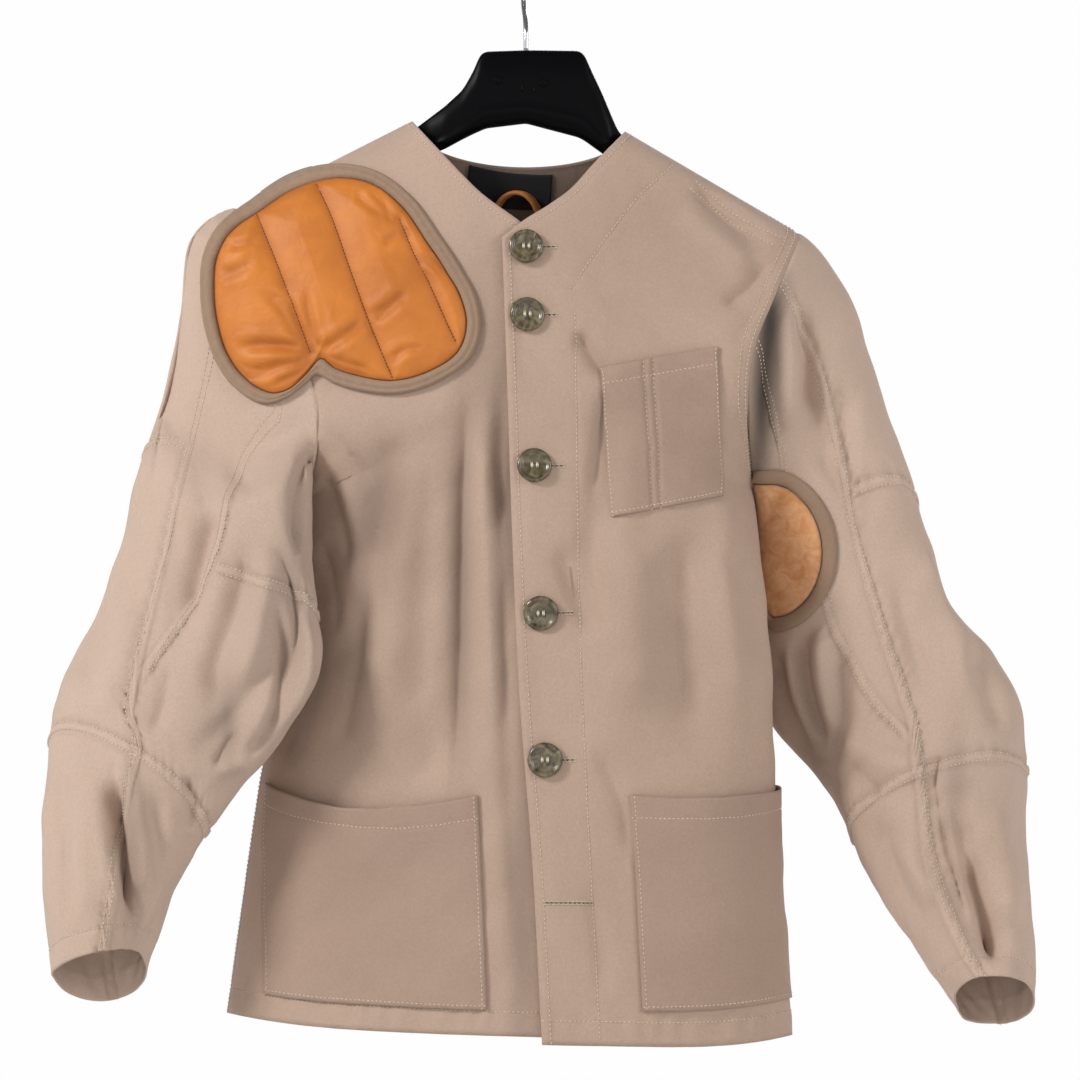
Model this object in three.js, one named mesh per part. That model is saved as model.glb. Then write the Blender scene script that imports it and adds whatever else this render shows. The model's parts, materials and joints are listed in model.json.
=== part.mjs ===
// A cloth shooting jacket, buttoned, on its moulded hanger with a wire hook.
// Millimetres, +Z up. The front faces -Y, and left and right are the wearer's: left is +X.
// The origin is the inner top of the hook, where the rail bears.
import * as THREE from "three";

// Driving dimensions
const CLOTH = 1.6; // wall of a cloth panel
const SEAM = 0.15; // each edge stays this far back from its seam line
const SEAT = 0.3; // air between a piece and the panel that it lies on
const EYE_X = 10; // the outline tables are as seen from straight in front,
const EYE_Z = -427; // from this height
const EYE_AWAY = 2600; // and this far from the hanger
const BUTTON_R = 12.3;
const POCKET_WALL = 1.4;
const PAD_PUFF = 7; // height of the quilting over its seams
const PAD_WALL = 1.6;
const BINDING_T = 4.4;
const WIRE_R = 1.9;
const HOOK_R = 24.4; // centre line of the hook's bow

// Rows of the grids: the shoulder seam is row 0, the underarm row 12 and the hem row 24
const NECK_CORNER = 8;
const UNDERARM = 12;
const HEM = 24;
const ELBOW_ROWS = 14; // rows of a sleeve above its elbow seam
const CUFF_ROWS = 6; // and below it
const ROUND = 24; // columns round a sleeve: 0 is its back seam
const SEAM_A = 10; // column of the front seam
const SEAM_B = 13; // column of the seam behind it

// Neck edge of each front, from the shoulder seam to the corner at the top button
const NECK = {
  left: [
    { at: 0, x: 72, z: -131, y: -0.5 },
    { at: 1, x: 70.1, z: -132.9, y: -12 },
    { at: 2, x: 66, z: -137, y: -20 },
    { at: 3, x: 58, z: -145, y: -26 },
    { at: 4, x: 47, z: -156.5, y: -31 },
    { at: 5, x: 33, z: -172, y: -37 },
    { at: 6, x: 16, z: -184.5, y: -43 },
    { at: 7, x: -1, z: -195, y: -49 },
    { at: 8, x: -17.4, z: -207.6, y: -54 },
  ],
  right: [
    { at: 0, x: -82.7, z: -123.5, y: -0.5 },
    { at: 1, x: -80.8, z: -125.5, y: -12 },
    { at: 2, x: -77, z: -129.6, y: -20 },
    { at: 3, x: -69.7, z: -137.4, y: -25.5 },
    { at: 4, x: -59.7, z: -148, y: -30 },
    { at: 5, x: -47, z: -161.5, y: -35 },
    { at: 6, x: -31.5, z: -176.5, y: -39.5 },
    { at: 7, x: -11, z: -191.5, y: -44 },
    { at: 8, x: 14, z: -209, y: -47.5 },
  ],
};

// Front edges below the neck; the right one lies under the left
const EDGE = {
  left: [
    { at: 8, x: -17.4, z: -207.6, y: -54 },
    { at: 12, x: -13.5, z: -318, y: -69 },
    { at: 15, x: -9.9, z: -427, y: -79 },
    { at: 18, x: -4.8, z: -540, y: -86 },
    { at: 21, x: 4.6, z: -662, y: -92 },
    { at: 24, x: 11.6, z: -793.4, y: -98 },
  ],
  right: [
    { at: 8, x: 14, z: -209, y: -47.5 },
    { at: 12, x: 28, z: -318, y: -61.5 },
    { at: 15, x: 32, z: -427, y: -72 },
    { at: 18, x: 38, z: -540, y: -79.5 },
    { at: 21, x: 46, z: -662, y: -86 },
    { at: 24, x: 53, z: -789, y: -92.5 },
  ],
};

// Armholes, from the shoulder tip (0) down the front to the underarm (0.5) and up the back
const ARMHOLE = {
  left: [
    { at: 0, x: 196, y: 0, z: -204 },
    { at: 0.04, x: 197, y: -12, z: -206.8 },
    { at: 0.08, x: 196.5, y: -20, z: -211.5 },
    { at: 0.13, x: 192, y: -29, z: -223 },
    { at: 0.2, x: 181, y: -39, z: -249 },
    { at: 0.3, x: 165, y: -47, z: -291 },
    { at: 0.4, x: 161, y: -36, z: -340 },
    { at: 0.5, x: 164, y: 14, z: -390 },
    { at: 0.6, x: 163, y: 49, z: -352 },
    { at: 0.7, x: 170, y: 58, z: -305 },
    { at: 0.8, x: 181, y: 50, z: -254 },
    { at: 0.87, x: 191, y: 36, z: -224 },
    { at: 0.92, x: 196, y: 24, z: -211.5 },
    { at: 0.96, x: 197, y: 13, z: -206.8 },
    { at: 1, x: 196, y: 0, z: -204 },
  ],
  right: [
    { at: 0, x: -208, y: 0, z: -187 },
    { at: 0.04, x: -209.5, y: -12, z: -189.5 },
    { at: 0.08, x: -209, y: -20, z: -194 },
    { at: 0.13, x: -204, y: -30, z: -207 },
    { at: 0.2, x: -190, y: -43, z: -236 },
    { at: 0.3, x: -165, y: -58, z: -288 },
    { at: 0.4, x: -150, y: -60, z: -338 },
    { at: 0.5, x: -160, y: -6, z: -396 },
    { at: 0.6, x: -160, y: 42, z: -358 },
    { at: 0.7, x: -168, y: 57, z: -308 },
    { at: 0.8, x: -184, y: 50, z: -248 },
    { at: 0.87, x: -199, y: 36, z: -210 },
    { at: 0.92, x: -207, y: 24, z: -195 },
    { at: 0.96, x: -209.5, y: 13, z: -189.5 },
    { at: 1, x: -208, y: 0, z: -187 },
  ],
};

// Sides of the body below the underarm: the widest point, and how far round the side seam lies
const SIDE = {
  left: [
    { at: 12, x: 164, z: -390, y: 14, seam: 90 },
    { at: 14, x: 170, z: -440, y: -18, seam: 97 },
    { at: 16, x: 175, z: -492, y: -24, seam: 104 },
    { at: 18, x: 177, z: -548, y: -25, seam: 110 },
    { at: 20, x: 181, z: -612, y: -22, seam: 114 },
    { at: 22, x: 185, z: -690, y: -20, seam: 116 },
    { at: 24, x: 191.4, z: -786, y: -15, seam: 118 },
  ],
  right: [
    { at: 12, x: -160, z: -396, y: -6, seam: 90 },
    { at: 14, x: -169, z: -444, y: -3, seam: 89 },
    { at: 16, x: -177, z: -494, y: 0, seam: 88 },
    { at: 18, x: -182, z: -548, y: 0, seam: 87 },
    { at: 20, x: -193, z: -608, y: 0, seam: 86 },
    { at: 22, x: -204, z: -684, y: 0, seam: 86 },
    { at: 24, x: -216, z: -770, y: 0, seam: 86 },
  ],
};

// Middle of the back, and the bow of each row between front edge and side
const BACK = [
  { at: 0, y: 19, z: -157, full: 2.0 },
  { at: 3, y: 44, z: -215, full: 2.2 },
  { at: 7, y: 62, z: -290, full: 2.3 },
  { at: 12, y: 74, z: -390, full: 2.4 },
  { at: 16, y: 80, z: -492, full: 2.4 },
  { at: 20, y: 92, z: -612, full: 2.4 },
  { at: 24, y: 104, z: -778, full: 2.4 },
];
const BOW = [
  { at: 0, full: 2.0, turn: 45, sag: 0 },
  { at: 3, full: 2.2, turn: 55, sag: 1 },
  { at: 7, full: 2.5, turn: 66, sag: 0 },
  { at: 12, full: 2.6, turn: 90, sag: 0 },
  { at: 24, full: 2.6, turn: 90, sag: -7 },
];

// Sleeve rings: outer and inner silhouette points, half depth, and the lift of the front and back
const RINGS = {
  left: [
    { at: 0, ox: 198, oz: -206, oy: 2, nx: 172, nz: -384, ny: 12, half: 46, front: 0, back: 0 },
    { at: 1, ox: 215, oz: -218, oy: 6, nx: 173, nz: -408, ny: 30, half: 46, front: 0, back: 0 },
    { at: 2, ox: 236, oz: -260, oy: 8, nx: 168, nz: -436, ny: 46, half: 44, front: 0, back: 0 },
    { at: 3, ox: 256.6, oz: -322, oy: 10, nx: 163, nz: -470, ny: 55, half: 42, front: 0, back: 0 },
    { at: 4, ox: 274.8, oz: -369, oy: 12, nx: 163, nz: -502, ny: 58, half: 41, front: 0, back: 0 },
    { at: 5, ox: 291.5, oz: -427, oy: 12, nx: 168, nz: -534, ny: 52, half: 41, front: 0, back: 0 },
    { at: 6, ox: 307.4, oz: -478, oy: 10, nx: 184, nz: -568, ny: 44, half: 42, front: 4, back: 0 },
    { at: 7, ox: 336.4, oz: -510.6, oy: 6, nx: 208, nz: -597, ny: 34, half: 44, front: 12, back: 0 },
    { at: 8, ox: 356.7, oz: -547, oy: 2, nx: 223, nz: -616, ny: 24, half: 45, front: 20, back: 0 },
    { at: 9, ox: 363.2, oz: -590, oy: -4, nx: 235, nz: -641, ny: 12, half: 46, front: 27, back: 0 },
    { at: 10, ox: 363.2, oz: -652, oy: -14, nx: 256, nz: -684, ny: -4, half: 46, front: 14, back: -4 },
    { at: 11, ox: 367.2, oz: -714, oy: -26, nx: 284, nz: -728, ny: -22, half: 45, front: 12, back: -10 },
    { at: 12, ox: 368.3, oz: -762, oy: -36, nx: 311.7, nz: -764, ny: -34, half: 46, front: 20, back: -15 },
  ],
  right: [
    { at: 0, ox: -210, oz: -188, oy: 2, nx: -153, nz: -345, ny: -34, half: 54, front: 0, back: 0 },
    { at: 1, ox: -229, oz: -193, oy: 2, nx: -154, nz: -358, ny: -52, half: 52, front: 0, back: 0 },
    { at: 2, ox: -243.6, oz: -217, oy: 2, nx: -157, nz: -384, ny: -70, half: 47, front: 0, back: 0 },
    { at: 3, ox: -248.7, oz: -268, oy: 0, nx: -158, nz: -415, ny: -82, half: 42, front: 0, back: 0 },
    { at: 4, ox: -261, oz: -326, oy: -4, nx: -156.6, nz: -444, ny: -92, half: 36, front: 0, back: 0 },
    { at: 5, ox: -278.4, oz: -384, oy: -10, nx: -153.7, nz: -478, ny: -96, half: 36, front: 0, back: 0 },
    { at: 6, ox: -289.3, oz: -427, oy: -16, nx: -150.8, nz: -511, ny: -98, half: 36, front: 0, back: 0 },
    { at: 7, ox: -306.7, oz: -471, oy: -24, nx: -164, nz: -545, ny: -98, half: 37, front: 5, back: 0 },
    { at: 8, ox: -330.6, oz: -518, oy: -34, nx: -191, nz: -585, ny: -96, half: 38, front: 12, back: 0 },
    { at: 9, ox: -342, oz: -550, oy: -42, nx: -212, nz: -611, ny: -94, half: 40, front: 20, back: 0 },
    { at: 10, ox: -344, oz: -570, oy: -46, nx: -230, nz: -636, ny: -92, half: 42, front: 25, back: 0 },
    { at: 11, ox: -348.7, oz: -638, oy: -58, nx: -254, nz: -670, ny: -88, half: 43, front: 12, back: -6 },
    { at: 12, ox: -347.5, oz: -694, oy: -66, nx: -268, nz: -706, ny: -86, half: 44, front: 10, back: -16 },
    { at: 13, ox: -341.5, oz: -745, oy: -72, nx: -279.5, nz: -727, ny: -84, half: 45, front: 10, back: -27 },
  ],
};

// Where the two front seams run round each ring, as a share of the turn from the outer silhouette
const SEAMS = {
  left: [
    { at: 2, a: 0.167, b: 0.31 },
    { at: 3, a: 0.165, b: 0.295 },
    { at: 4, a: 0.18, b: 0.26 },
    { at: 5, a: 0.178, b: 0.256 },
    { at: 6, a: 0.179, b: 0.249 },
    { at: 7, a: 0.212, b: 0.259 },
    { at: 8, a: 0.231, b: 0.258 },
    { at: 9, a: 0.242, b: 0.258 },
    { at: 10, a: 0.26, b: 0.31 },
    { at: 12, a: 0.27, b: 0.36 },
  ],
  right: [
    { at: 2, a: 0.187, b: 0.36 },
    { at: 3, a: 0.184, b: 0.315 },
    { at: 4, a: 0.181, b: 0.282 },
    { at: 5, a: 0.18, b: 0.272 },
    { at: 6, a: 0.177, b: 0.25 },
    { at: 7, a: 0.188, b: 0.24 },
    { at: 8, a: 0.214, b: 0.236 },
    { at: 9, a: 0.231, b: 0.246 },
    { at: 10, a: 0.254, b: 0.27 },
    { at: 11, a: 0.28, b: 0.33 },
    { at: 13, a: 0.3, b: 0.38 },
  ],
};

// Cross seams slant: how far each column's row moves along the sleeve
const SLANTS = {
  left: [{ row: 6, reach: 4, shift: [[0, 0.94], [5, 0.6], [10, -0.36], [13, 0], [16, 0], [24, 0.94]] }],
  right: [
    { row: 6, reach: 4, shift: [[0, 0.6], [5, 0.46], [10, -0.09], [13, 0], [16, 0], [24, 0.6]] },
    { row: 7, reach: 3, shift: [[0, 0], [10, 0], [13, 0.4], [18, -0.4], [24, 0]] },
  ],
};
const ELBOW_AT = { left: 9, right: 10 };
const CUFF_AT = { left: 12, right: 13 };
const HEAD = 2; // the sleeve head turns from armhole to rings over this many rings

// Folds drawn on the seen plane: the panel, half width, height along its normal (below 0 is a trough)
// and path
const FOLDS = [
  { on: "front_right", wide: 15, deep: -13,
    path: [[-44, -246], [-62, -330], [-77, -440], [-74, -560], [-78, -616]] },
  { on: "front_right", wide: 20, deep: 7, path: [[-92, -330], [-104, -420], [-108, -520], [-104, -610]] },
  { on: "front_right", wide: 9, deep: -8, path: [[-18, -268], [-16, -350], [-14, -432]] },
  { on: "front_left", wide: 17, deep: 4, path: [[60, -330], [68, -400], [62, -500], [70, -600]] },
  { on: "front_left", wide: 18, deep: -5, path: [[126, -400], [118, -500], [128, -600]] },
  { on: "front_left", wide: 8, deep: -4, path: [[36, -276], [62, -312]] },
  { on: "back", wide: 22, deep: -9, path: [[60, -300], [52, -450], [66, -620], [60, -760]] },
  { on: "back", wide: 22, deep: -9, path: [[-70, -320], [-62, -470], [-78, -640], [-84, -760]] },
  { on: "back", wide: 18, deep: 6, path: [[-8, -400], [-14, -560], [-6, -760]] },
  { on: "sleeve_left", wide: 9, deep: 7, path: [[262, -636], [300, -690], [330, -742]] },
  { on: "sleeve_left", wide: 10, deep: -16, path: [[306, -600], [324, -680], [346, -740]] },
  { on: "sleeve_left", wide: 12, deep: -6, path: [[200, -300], [220, -380], [246, -470]] },
  { on: "sleeve_left", wide: 11, deep: 6, path: [[214, -560], [262, -588], [300, -592]] },
  { on: "sleeve_right", wide: 9, deep: -17, path: [[-297, -596], [-291, -650], [-280, -712]] },
  { on: "sleeve_right", wide: 9, deep: 7, path: [[-312, -600], [-303, -660], [-292, -705]] },
  { on: "sleeve_right", wide: 10, deep: 7, path: [[-152, -516], [-190, -566], [-218, -604]] },
  { on: "sleeve_right", wide: 10, deep: -6, path: [[-172, -500], [-205, -545], [-244, -590]] },
  { on: "sleeve_right", wide: 11, deep: -5, path: [[-226, -330], [-236, -420], [-262, -520]] },
];

// The recoil pad's leather round its middle: bearing clockwise from straight up, its reach, and
// the width of the binding outside it
const PAD_MIDDLE = { x: -136.3, z: -242.4 };
const PAD_OUTLINE = [
  { at: 0, reach: 78.3, band: 10.5 },
  { at: 18, reach: 77.5, band: 10.5 },
  { at: 38, reach: 73.4, band: 10.5 },
  { at: 62, reach: 71, band: 11 },
  { at: 82, reach: 78.3, band: 12 },
  { at: 95, reach: 88.7, band: 12 },
  { at: 107, reach: 97.2, band: 11 },
  { at: 119, reach: 99, band: 10.5 },
  { at: 133, reach: 90.8, band: 11 },
  { at: 149, reach: 80.3, band: 11.5 },
  { at: 166, reach: 68, band: 12 },
  { at: 182, reach: 60.2, band: 11.5 },
  { at: 194, reach: 54.9, band: 12.6 },
  { at: 200, reach: 69.5, band: 9.5 },
  { at: 205, reach: 82.4, band: 8.5 },
  { at: 212, reach: 91.9, band: 10 },
  { at: 225, reach: 95.3, band: 10.5 },
  { at: 238, reach: 94.5, band: 10.5 },
  { at: 252, reach: 91.7, band: 10.5 },
  { at: 268, reach: 90, band: 10.5 },
  { at: 282, reach: 90.3, band: 10.5 },
  { at: 295, reach: 87.6, band: 10.5 },
  { at: 315, reach: 78.4, band: 10.5 },
  { at: 338, reach: 77.6, band: 10.5 },
  { at: 360, reach: 78.3, band: 10.5 },
];
const QUILTING = [
  [[-195.7, -190], [-179.8, -229], [-156.6, -291]],
  [[-152.6, -168], [-140.6, -194], [-128.3, -229], [-113.8, -269], [-96.8, -310]],
  [[-92, -194], [-81.2, -220], [-70.3, -241], [-55.8, -273.6], [-50.4, -284.4]],
];
// The line of shoulder and sleeve head that the pad rounds down to
const SHOULDER_LINE = [
  [-70, -117], [-83, -123], [-208, -184.5], [-227, -192], [-240, -205], [-247, -226], [-251, -258],
  [-254, -295], [-262, -340],
];

// Interpolation helpers
const clamp = (v, lo, hi) => Math.min(hi, Math.max(lo, v));
const mix = (a, b, t) => a + (b - a) * t;
const smooth = (t) => {
  const s = clamp(t, 0, 1);
  return s * s * (3 - 2 * s);
};
const power = (t, n) => Math.sign(t) * Math.abs(t) ** (2 / n);
const rad = THREE.MathUtils.degToRad;

// A smooth curve through one named column of a table, with the table's own "at" as its argument.
function column(rows, name, at) {
  const last = rows.length - 1;
  let i = 0;
  while (i < last - 1 && at > rows[i + 1].at) i += 1;
  const slope = (k) => {
    const a = Math.max(k - 1, 0);
    const b = Math.min(k + 1, last);
    return (rows[b][name] - rows[a][name]) / (rows[b].at - rows[a].at);
  };
  const step = rows[i + 1].at - rows[i].at;
  const t = clamp((at - rows[i].at) / step, 0, 1);
  const h = t * t * (3 - 2 * t);
  const bend = t * (1 - t) * ((1 - t) * slope(i) - t * slope(i + 1)) * step;
  return mix(rows[i][name], rows[i + 1][name], h) + bend;
}

function straight(pairs, at) {
  let i = 0;
  while (i < pairs.length - 2 && at > pairs[i + 1][0]) i += 1;
  const [a, b] = [pairs[i], pairs[i + 1]];
  return mix(a[1], b[1], clamp((at - a[0]) / (b[0] - a[0]), 0, 1));
}

// Distance from (x, z) to a path on the seen plane, the share of the path at the nearest point, and
// the side of the path on which (x, z) lies
function pathDistance(path, x, z) {
  let best = { far: Infinity, share: 0, side: 1 };
  for (let i = 0; i < path.length - 1; i += 1) {
    const [ax, az] = path[i];
    const [bx, bz] = path[i + 1];
    const t = clamp(((x - ax) * (bx - ax) + (z - az) * (bz - az)) / ((bx - ax) ** 2 + (bz - az) ** 2), 0, 1);
    const far = Math.hypot(x - mix(ax, bx, t), z - mix(az, bz, t));
    const side = Math.sign((bx - ax) * (z - az) - (bz - az) * (x - ax));
    if (far < best.far) best = { far, share: (i + t) / (path.length - 1), side };
  }
  return best;
}

// Depth of the folds on one panel at a seen point: soft troughs and ridges that fade at both ends
function foldDepth(panel, x, z) {
  let depth = 0;
  for (const fold of FOLDS) {
    if (fold.on !== panel) continue;
    const { far, share } = pathDistance(fold.path, x, z);
    const fade = smooth(share / 0.25) * smooth((1 - share) / 0.25);
    depth += fold.deep * fade * Math.exp(-((far / fold.wide) ** 2));
  }
  return depth;
}

// The tables are as seen from the front: a point nearer the eye is drawn in towards its line of sight.
function place(p) {
  const k = 1 + p.y / EYE_AWAY;
  return new THREE.Vector3(EYE_X + (p.x - EYE_X) * k, p.y, EYE_Z + (p.z - EYE_Z) * k);
}

// Cloth that the recoil pad is sewn to, rounded off towards the shoulder line
function padShare(x, z) {
  const turn = THREE.MathUtils.radToDeg(Math.atan2(x - PAD_MIDDLE.x, z - PAD_MIDDLE.z));
  const bearing = (turn + 360) % 360;
  const edge = column(PAD_OUTLINE, "reach", bearing) + column(PAD_OUTLINE, "band", bearing);
  return Math.hypot(x - PAD_MIDDLE.x, z - PAD_MIDDLE.z) - edge;
}
const SHOULDER_SLOPE = 2.8; // how steeply the cloth passes over the shoulder line
const BEHIND_MOST = 5; // and how far behind the line it goes
const NEAR_BOW = { deep: 22, over: 9 }; // the cloth comes forward fast past the line,
const FAR_BOW = { deep: 45, over: 110 }; // then slowly over the shoulder's front
function padDepth(x, z) {
  const { far, side } = pathDistance(SHOULDER_LINE, x, z);
  if (side < 0) return Math.min(far * SHOULDER_SLOPE, BEHIND_MOST);
  const bow = ({ deep, over }) => -deep * (1 - Math.exp(-far / over));
  return bow(NEAR_BOW) + bow(FAR_BOW);
}
// How far outside the pad the cloth still lies in its plane: on the front and on the sleeve
const HELD_FRONT = 16;
const HELD_SLEEVE = 34;
const HELD_FADE = 55;
const FACING_FADE = 0.3; // a sleeve's hold and folds fade over this share as it turns away
function underPad(p, near, facing = 1) {
  const outside = padShare(p.x, p.z);
  const held = smooth(1 - (outside - near) / HELD_FADE) * smooth(facing / FACING_FADE);
  if (held > 0) p.setY(mix(p.y, padDepth(p.x, p.z), held));
  return 1 - held;
}

const armhole = (side, w) => {
  const at = ((w % 1) + 1) % 1;
  return new THREE.Vector3(...["x", "y", "z"].map((name) => column(ARMHOLE[side], name, at)));
};
const innerEdge = (side, v) => {
  const rows = v < NECK_CORNER ? NECK[side] : EDGE[side];
  return new THREE.Vector3(...["x", "y", "z"].map((name) => column(rows, name, v)));
};
const sidePoint = (side, v) => {
  if (v <= UNDERARM) return armhole(side, (0.5 * v) / UNDERARM);
  return new THREE.Vector3(...["x", "y", "z"].map((name) => column(SIDE[side], name, v)));
};
const seamTurn = (side, v) => (v <= UNDERARM ? 90 : column(SIDE[side], "seam", v));

// One quarter of the body's plan between its middle and a side, bowed like a superellipse.
function backQuarter(side, v, turn) {
  const wide = v <= UNDERARM ? armhole(side, 1 - (0.5 * v) / UNDERARM) : sidePoint(side, v);
  const middle = { y: column(BACK, "y", v), z: column(BACK, "z", v), full: column(BACK, "full", v) };
  const end = v <= UNDERARM ? column(BOW, "turn", v) : 90;
  const s = power(Math.sin(rad(turn)), middle.full) / power(Math.sin(rad(end)), middle.full);
  const low = power(Math.cos(rad(end)), middle.full);
  const c = (power(Math.cos(rad(turn)), middle.full) - low) / (1 - low);
  return new THREE.Vector3(wide.x * s, mix(wide.y, middle.y, c), mix(middle.z, wide.z, s * s));
}

// Front panel: share t from the inner edge to the armhole or side seam, row v
function frontBase(side, t, v) {
  const inner = innerEdge(side, v);
  const wide = sidePoint(side, v);
  const full = column(BOW, "full", v);
  const end = v <= UNDERARM ? column(BOW, "turn", v) : 90;
  const seam = seamTurn(side, v);
  const turn = v <= UNDERARM ? t * end : t * seam;
  if (turn > 90) return backQuarter(side, v, 180 - turn);
  const s = power(Math.sin(rad(turn)), full) / power(Math.sin(rad(end)), full);
  const low = power(Math.cos(rad(end)), full);
  const c = (power(Math.cos(rad(turn)), full) - low) / (1 - low);
  const sag = 1.6 * s * (1 - s ** 4) * column(BOW, "sag", v);
  return new THREE.Vector3(mix(inner.x, wide.x, s), mix(wide.y, inner.y, c), mix(inner.z, wide.z, s) + sag);
}

// The same panel with its columns spread evenly along the cloth
const EVEN_STEPS = 28;
function evenShare(curve, share) {
  const lengths = [0];
  let from = curve(0);
  for (let i = 1; i <= EVEN_STEPS; i += 1) {
    const to = curve(i / EVEN_STEPS);
    lengths.push(lengths[i - 1] + to.distanceTo(from));
    from = to;
  }
  const target = clamp(share, 0, 1) * lengths[EVEN_STEPS];
  let i = 1;
  while (i < EVEN_STEPS && lengths[i] < target) i += 1;
  const part = (target - lengths[i - 1]) / (lengths[i] - lengths[i - 1]);
  return curve((i - 1 + part) / EVEN_STEPS);
}

function front(side) {
  const panel = `front_${side}`;
  return (t, v) => {
    const p = evenShare((s) => frontBase(side, s, v), t);
    const bare = side === "right" ? underPad(p, HELD_FRONT) : 1;
    const free = bare * smooth((1 - t) / 0.12) * smooth((v - 0.5) / 2);
    const under = side === "right" ? smooth((t - 0.12) / 0.12) : smooth(t / 0.06);
    return { p, lift: foldDepth(panel, p.x, p.z) * free * under };
  };
}

// Back: t from the right side seam (0) over the middle (0.5) to the left one (1)
function backBase(t, v) {
  const side = t < 0.5 ? "right" : "left";
  const share = Math.abs(t - 0.5) * 2;
  const end = v <= UNDERARM ? column(BOW, "turn", v) : 180 - seamTurn(side, v);
  return evenShare((s) => backAt(side, s, end, v), share);
}
function backAt(side, share, end, v) {
  const turn = share * end;
  if (turn <= 90) return backQuarter(side, v, turn);
  return frontBase(side, (180 - turn) / seamTurn(side, v), v);
}

// The neck edge and shoulder seams that the back's top row follows
const NECK_SHARE = 0.4; // share of each half of the back's top row that is neck edge
function backTop(t) {
  const side = t < 0.5 ? "right" : "left";
  const share = Math.abs(t - 0.5) * 2;
  const neck = innerEdge(side, 0);
  const tip = armhole(side, 0);
  if (share >= NECK_SHARE) {
    const s = (share - NECK_SHARE) / (1 - NECK_SHARE);
    return neck.clone().setY(0.5).lerp(tip.setY(0.5), s);
  }
  const s = share / NECK_SHARE;
  const drop = Math.sqrt(1 - s * s);
  return new THREE.Vector3(neck.x * s, mix(0.5, BACK[0].y, drop ** 0.6), mix(neck.z, BACK[0].z, drop));
}
const TOP_FADE = 5;
function back(t, v) {
  const p = backBase(t, v);
  const far = clamp(v / TOP_FADE, 0, 1);
  const pull = new THREE.Vector3((1 - far) ** 2, (1 - far) ** 4, 1 - far ** 2);
  if (far < 1) p.add(backTop(t).sub(backBase(t, 0)).multiply(pull));
  const free = smooth(t / 0.08) * smooth((1 - t) / 0.08) * smooth((v - 1) / 3);
  return { p, lift: foldDepth("back", p.x, p.z) * free };
}

// Sleeve ring at place v and turn u: 0 the outer silhouette, 0.25 the front, 0.5 the inner one
const RING_FULL = 2.2;
function ring(side, u, v) {
  const get = (name) => column(RINGS[side], name, v);
  const outer = new THREE.Vector3(get("ox"), get("oy"), get("oz"));
  const inner = new THREE.Vector3(get("nx"), get("ny"), get("nz"));
  const middle = outer.clone().add(inner).multiplyScalar(0.5);
  const across = outer.clone().sub(inner).multiplyScalar(0.5);
  const unit = across.clone().normalize();
  const ahead = new THREE.Vector3(0, -1, 0);
  ahead.addScaledVector(unit, -ahead.dot(unit)).normalize();
  const along = new THREE.Vector3().crossVectors(unit, ahead);
  if (along.z < 0) along.negate();
  const c = power(Math.cos(2 * Math.PI * u), RING_FULL);
  const s = power(Math.sin(2 * Math.PI * u), RING_FULL);
  const rise = s > 0 ? get("front") * s : -get("back") * s;
  middle.addScaledVector(across, c).addScaledVector(ahead, get("half") * s);
  return middle.addScaledVector(along, rise);
}

// Grid of a sleeve: column i round it and row j along it, with its seams on whole columns and rows
function sleeveCell(side, i, j) {
  if (i < 0) return sleeveCell(side, i + ROUND, j);
  if (i > ROUND) return sleeveCell(side, i - ROUND, j);
  const natural = j <= ELBOW_ROWS
    ? (j / ELBOW_ROWS) * ELBOW_AT[side]
    : mix(ELBOW_AT[side], CUFF_AT[side], (j - ELBOW_ROWS) / CUFF_ROWS);
  let v = natural;
  for (const { row, reach, shift } of SLANTS[side]) {
    v += straight(shift, i) * clamp(1 - Math.abs(j - row) / reach, 0, 1);
  }
  const [a, b] = [column(SEAMS[side], "a", v), column(SEAMS[side], "b", v)];
  const u = straight([[0, -0.25], [5.5, 0], [SEAM_A, a], [SEAM_B, b], [19, 0.5], [ROUND, 0.75]], i);
  return { u, v, w: 0.75 + i / ROUND };
}
function sleeve(side) {
  return (i, j) => {
    const { u, v, w } = sleeveCell(side, i, j);
    const turned = smooth(v / HEAD);
    const p = ring(side, u, v);
    if (turned < 1) p.copy(armhole(side, w).lerp(p, turned));
    const facing = Math.sin(2 * Math.PI * u);
    const bare = side === "right" ? underPad(p, HELD_SLEEVE, facing) : 1;
    const free = bare * smooth(v - 0.4) * smooth(facing / FACING_FADE);
    return { p, lift: foldDepth(`sleeve_${side}`, p.x, p.z) * free };
  };
}

// Outer point, normal and fold of a surface at (a, b); outward is where the normal should look from
const NUDGE = 0.04;
function sample(surface, a, b, outward) {
  const at = (x, y) => surface(x, y).p;
  const { p, lift } = surface(a, b);
  const da = at(a + NUDGE, b).sub(at(a - NUDGE, b));
  const db = at(a, b + NUDGE).sub(at(a, b - NUDGE));
  const n = new THREE.Vector3().crossVectors(da, db).normalize().multiplyScalar(outward);
  return { p: p.clone().addScaledVector(n, lift), n };
}

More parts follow.
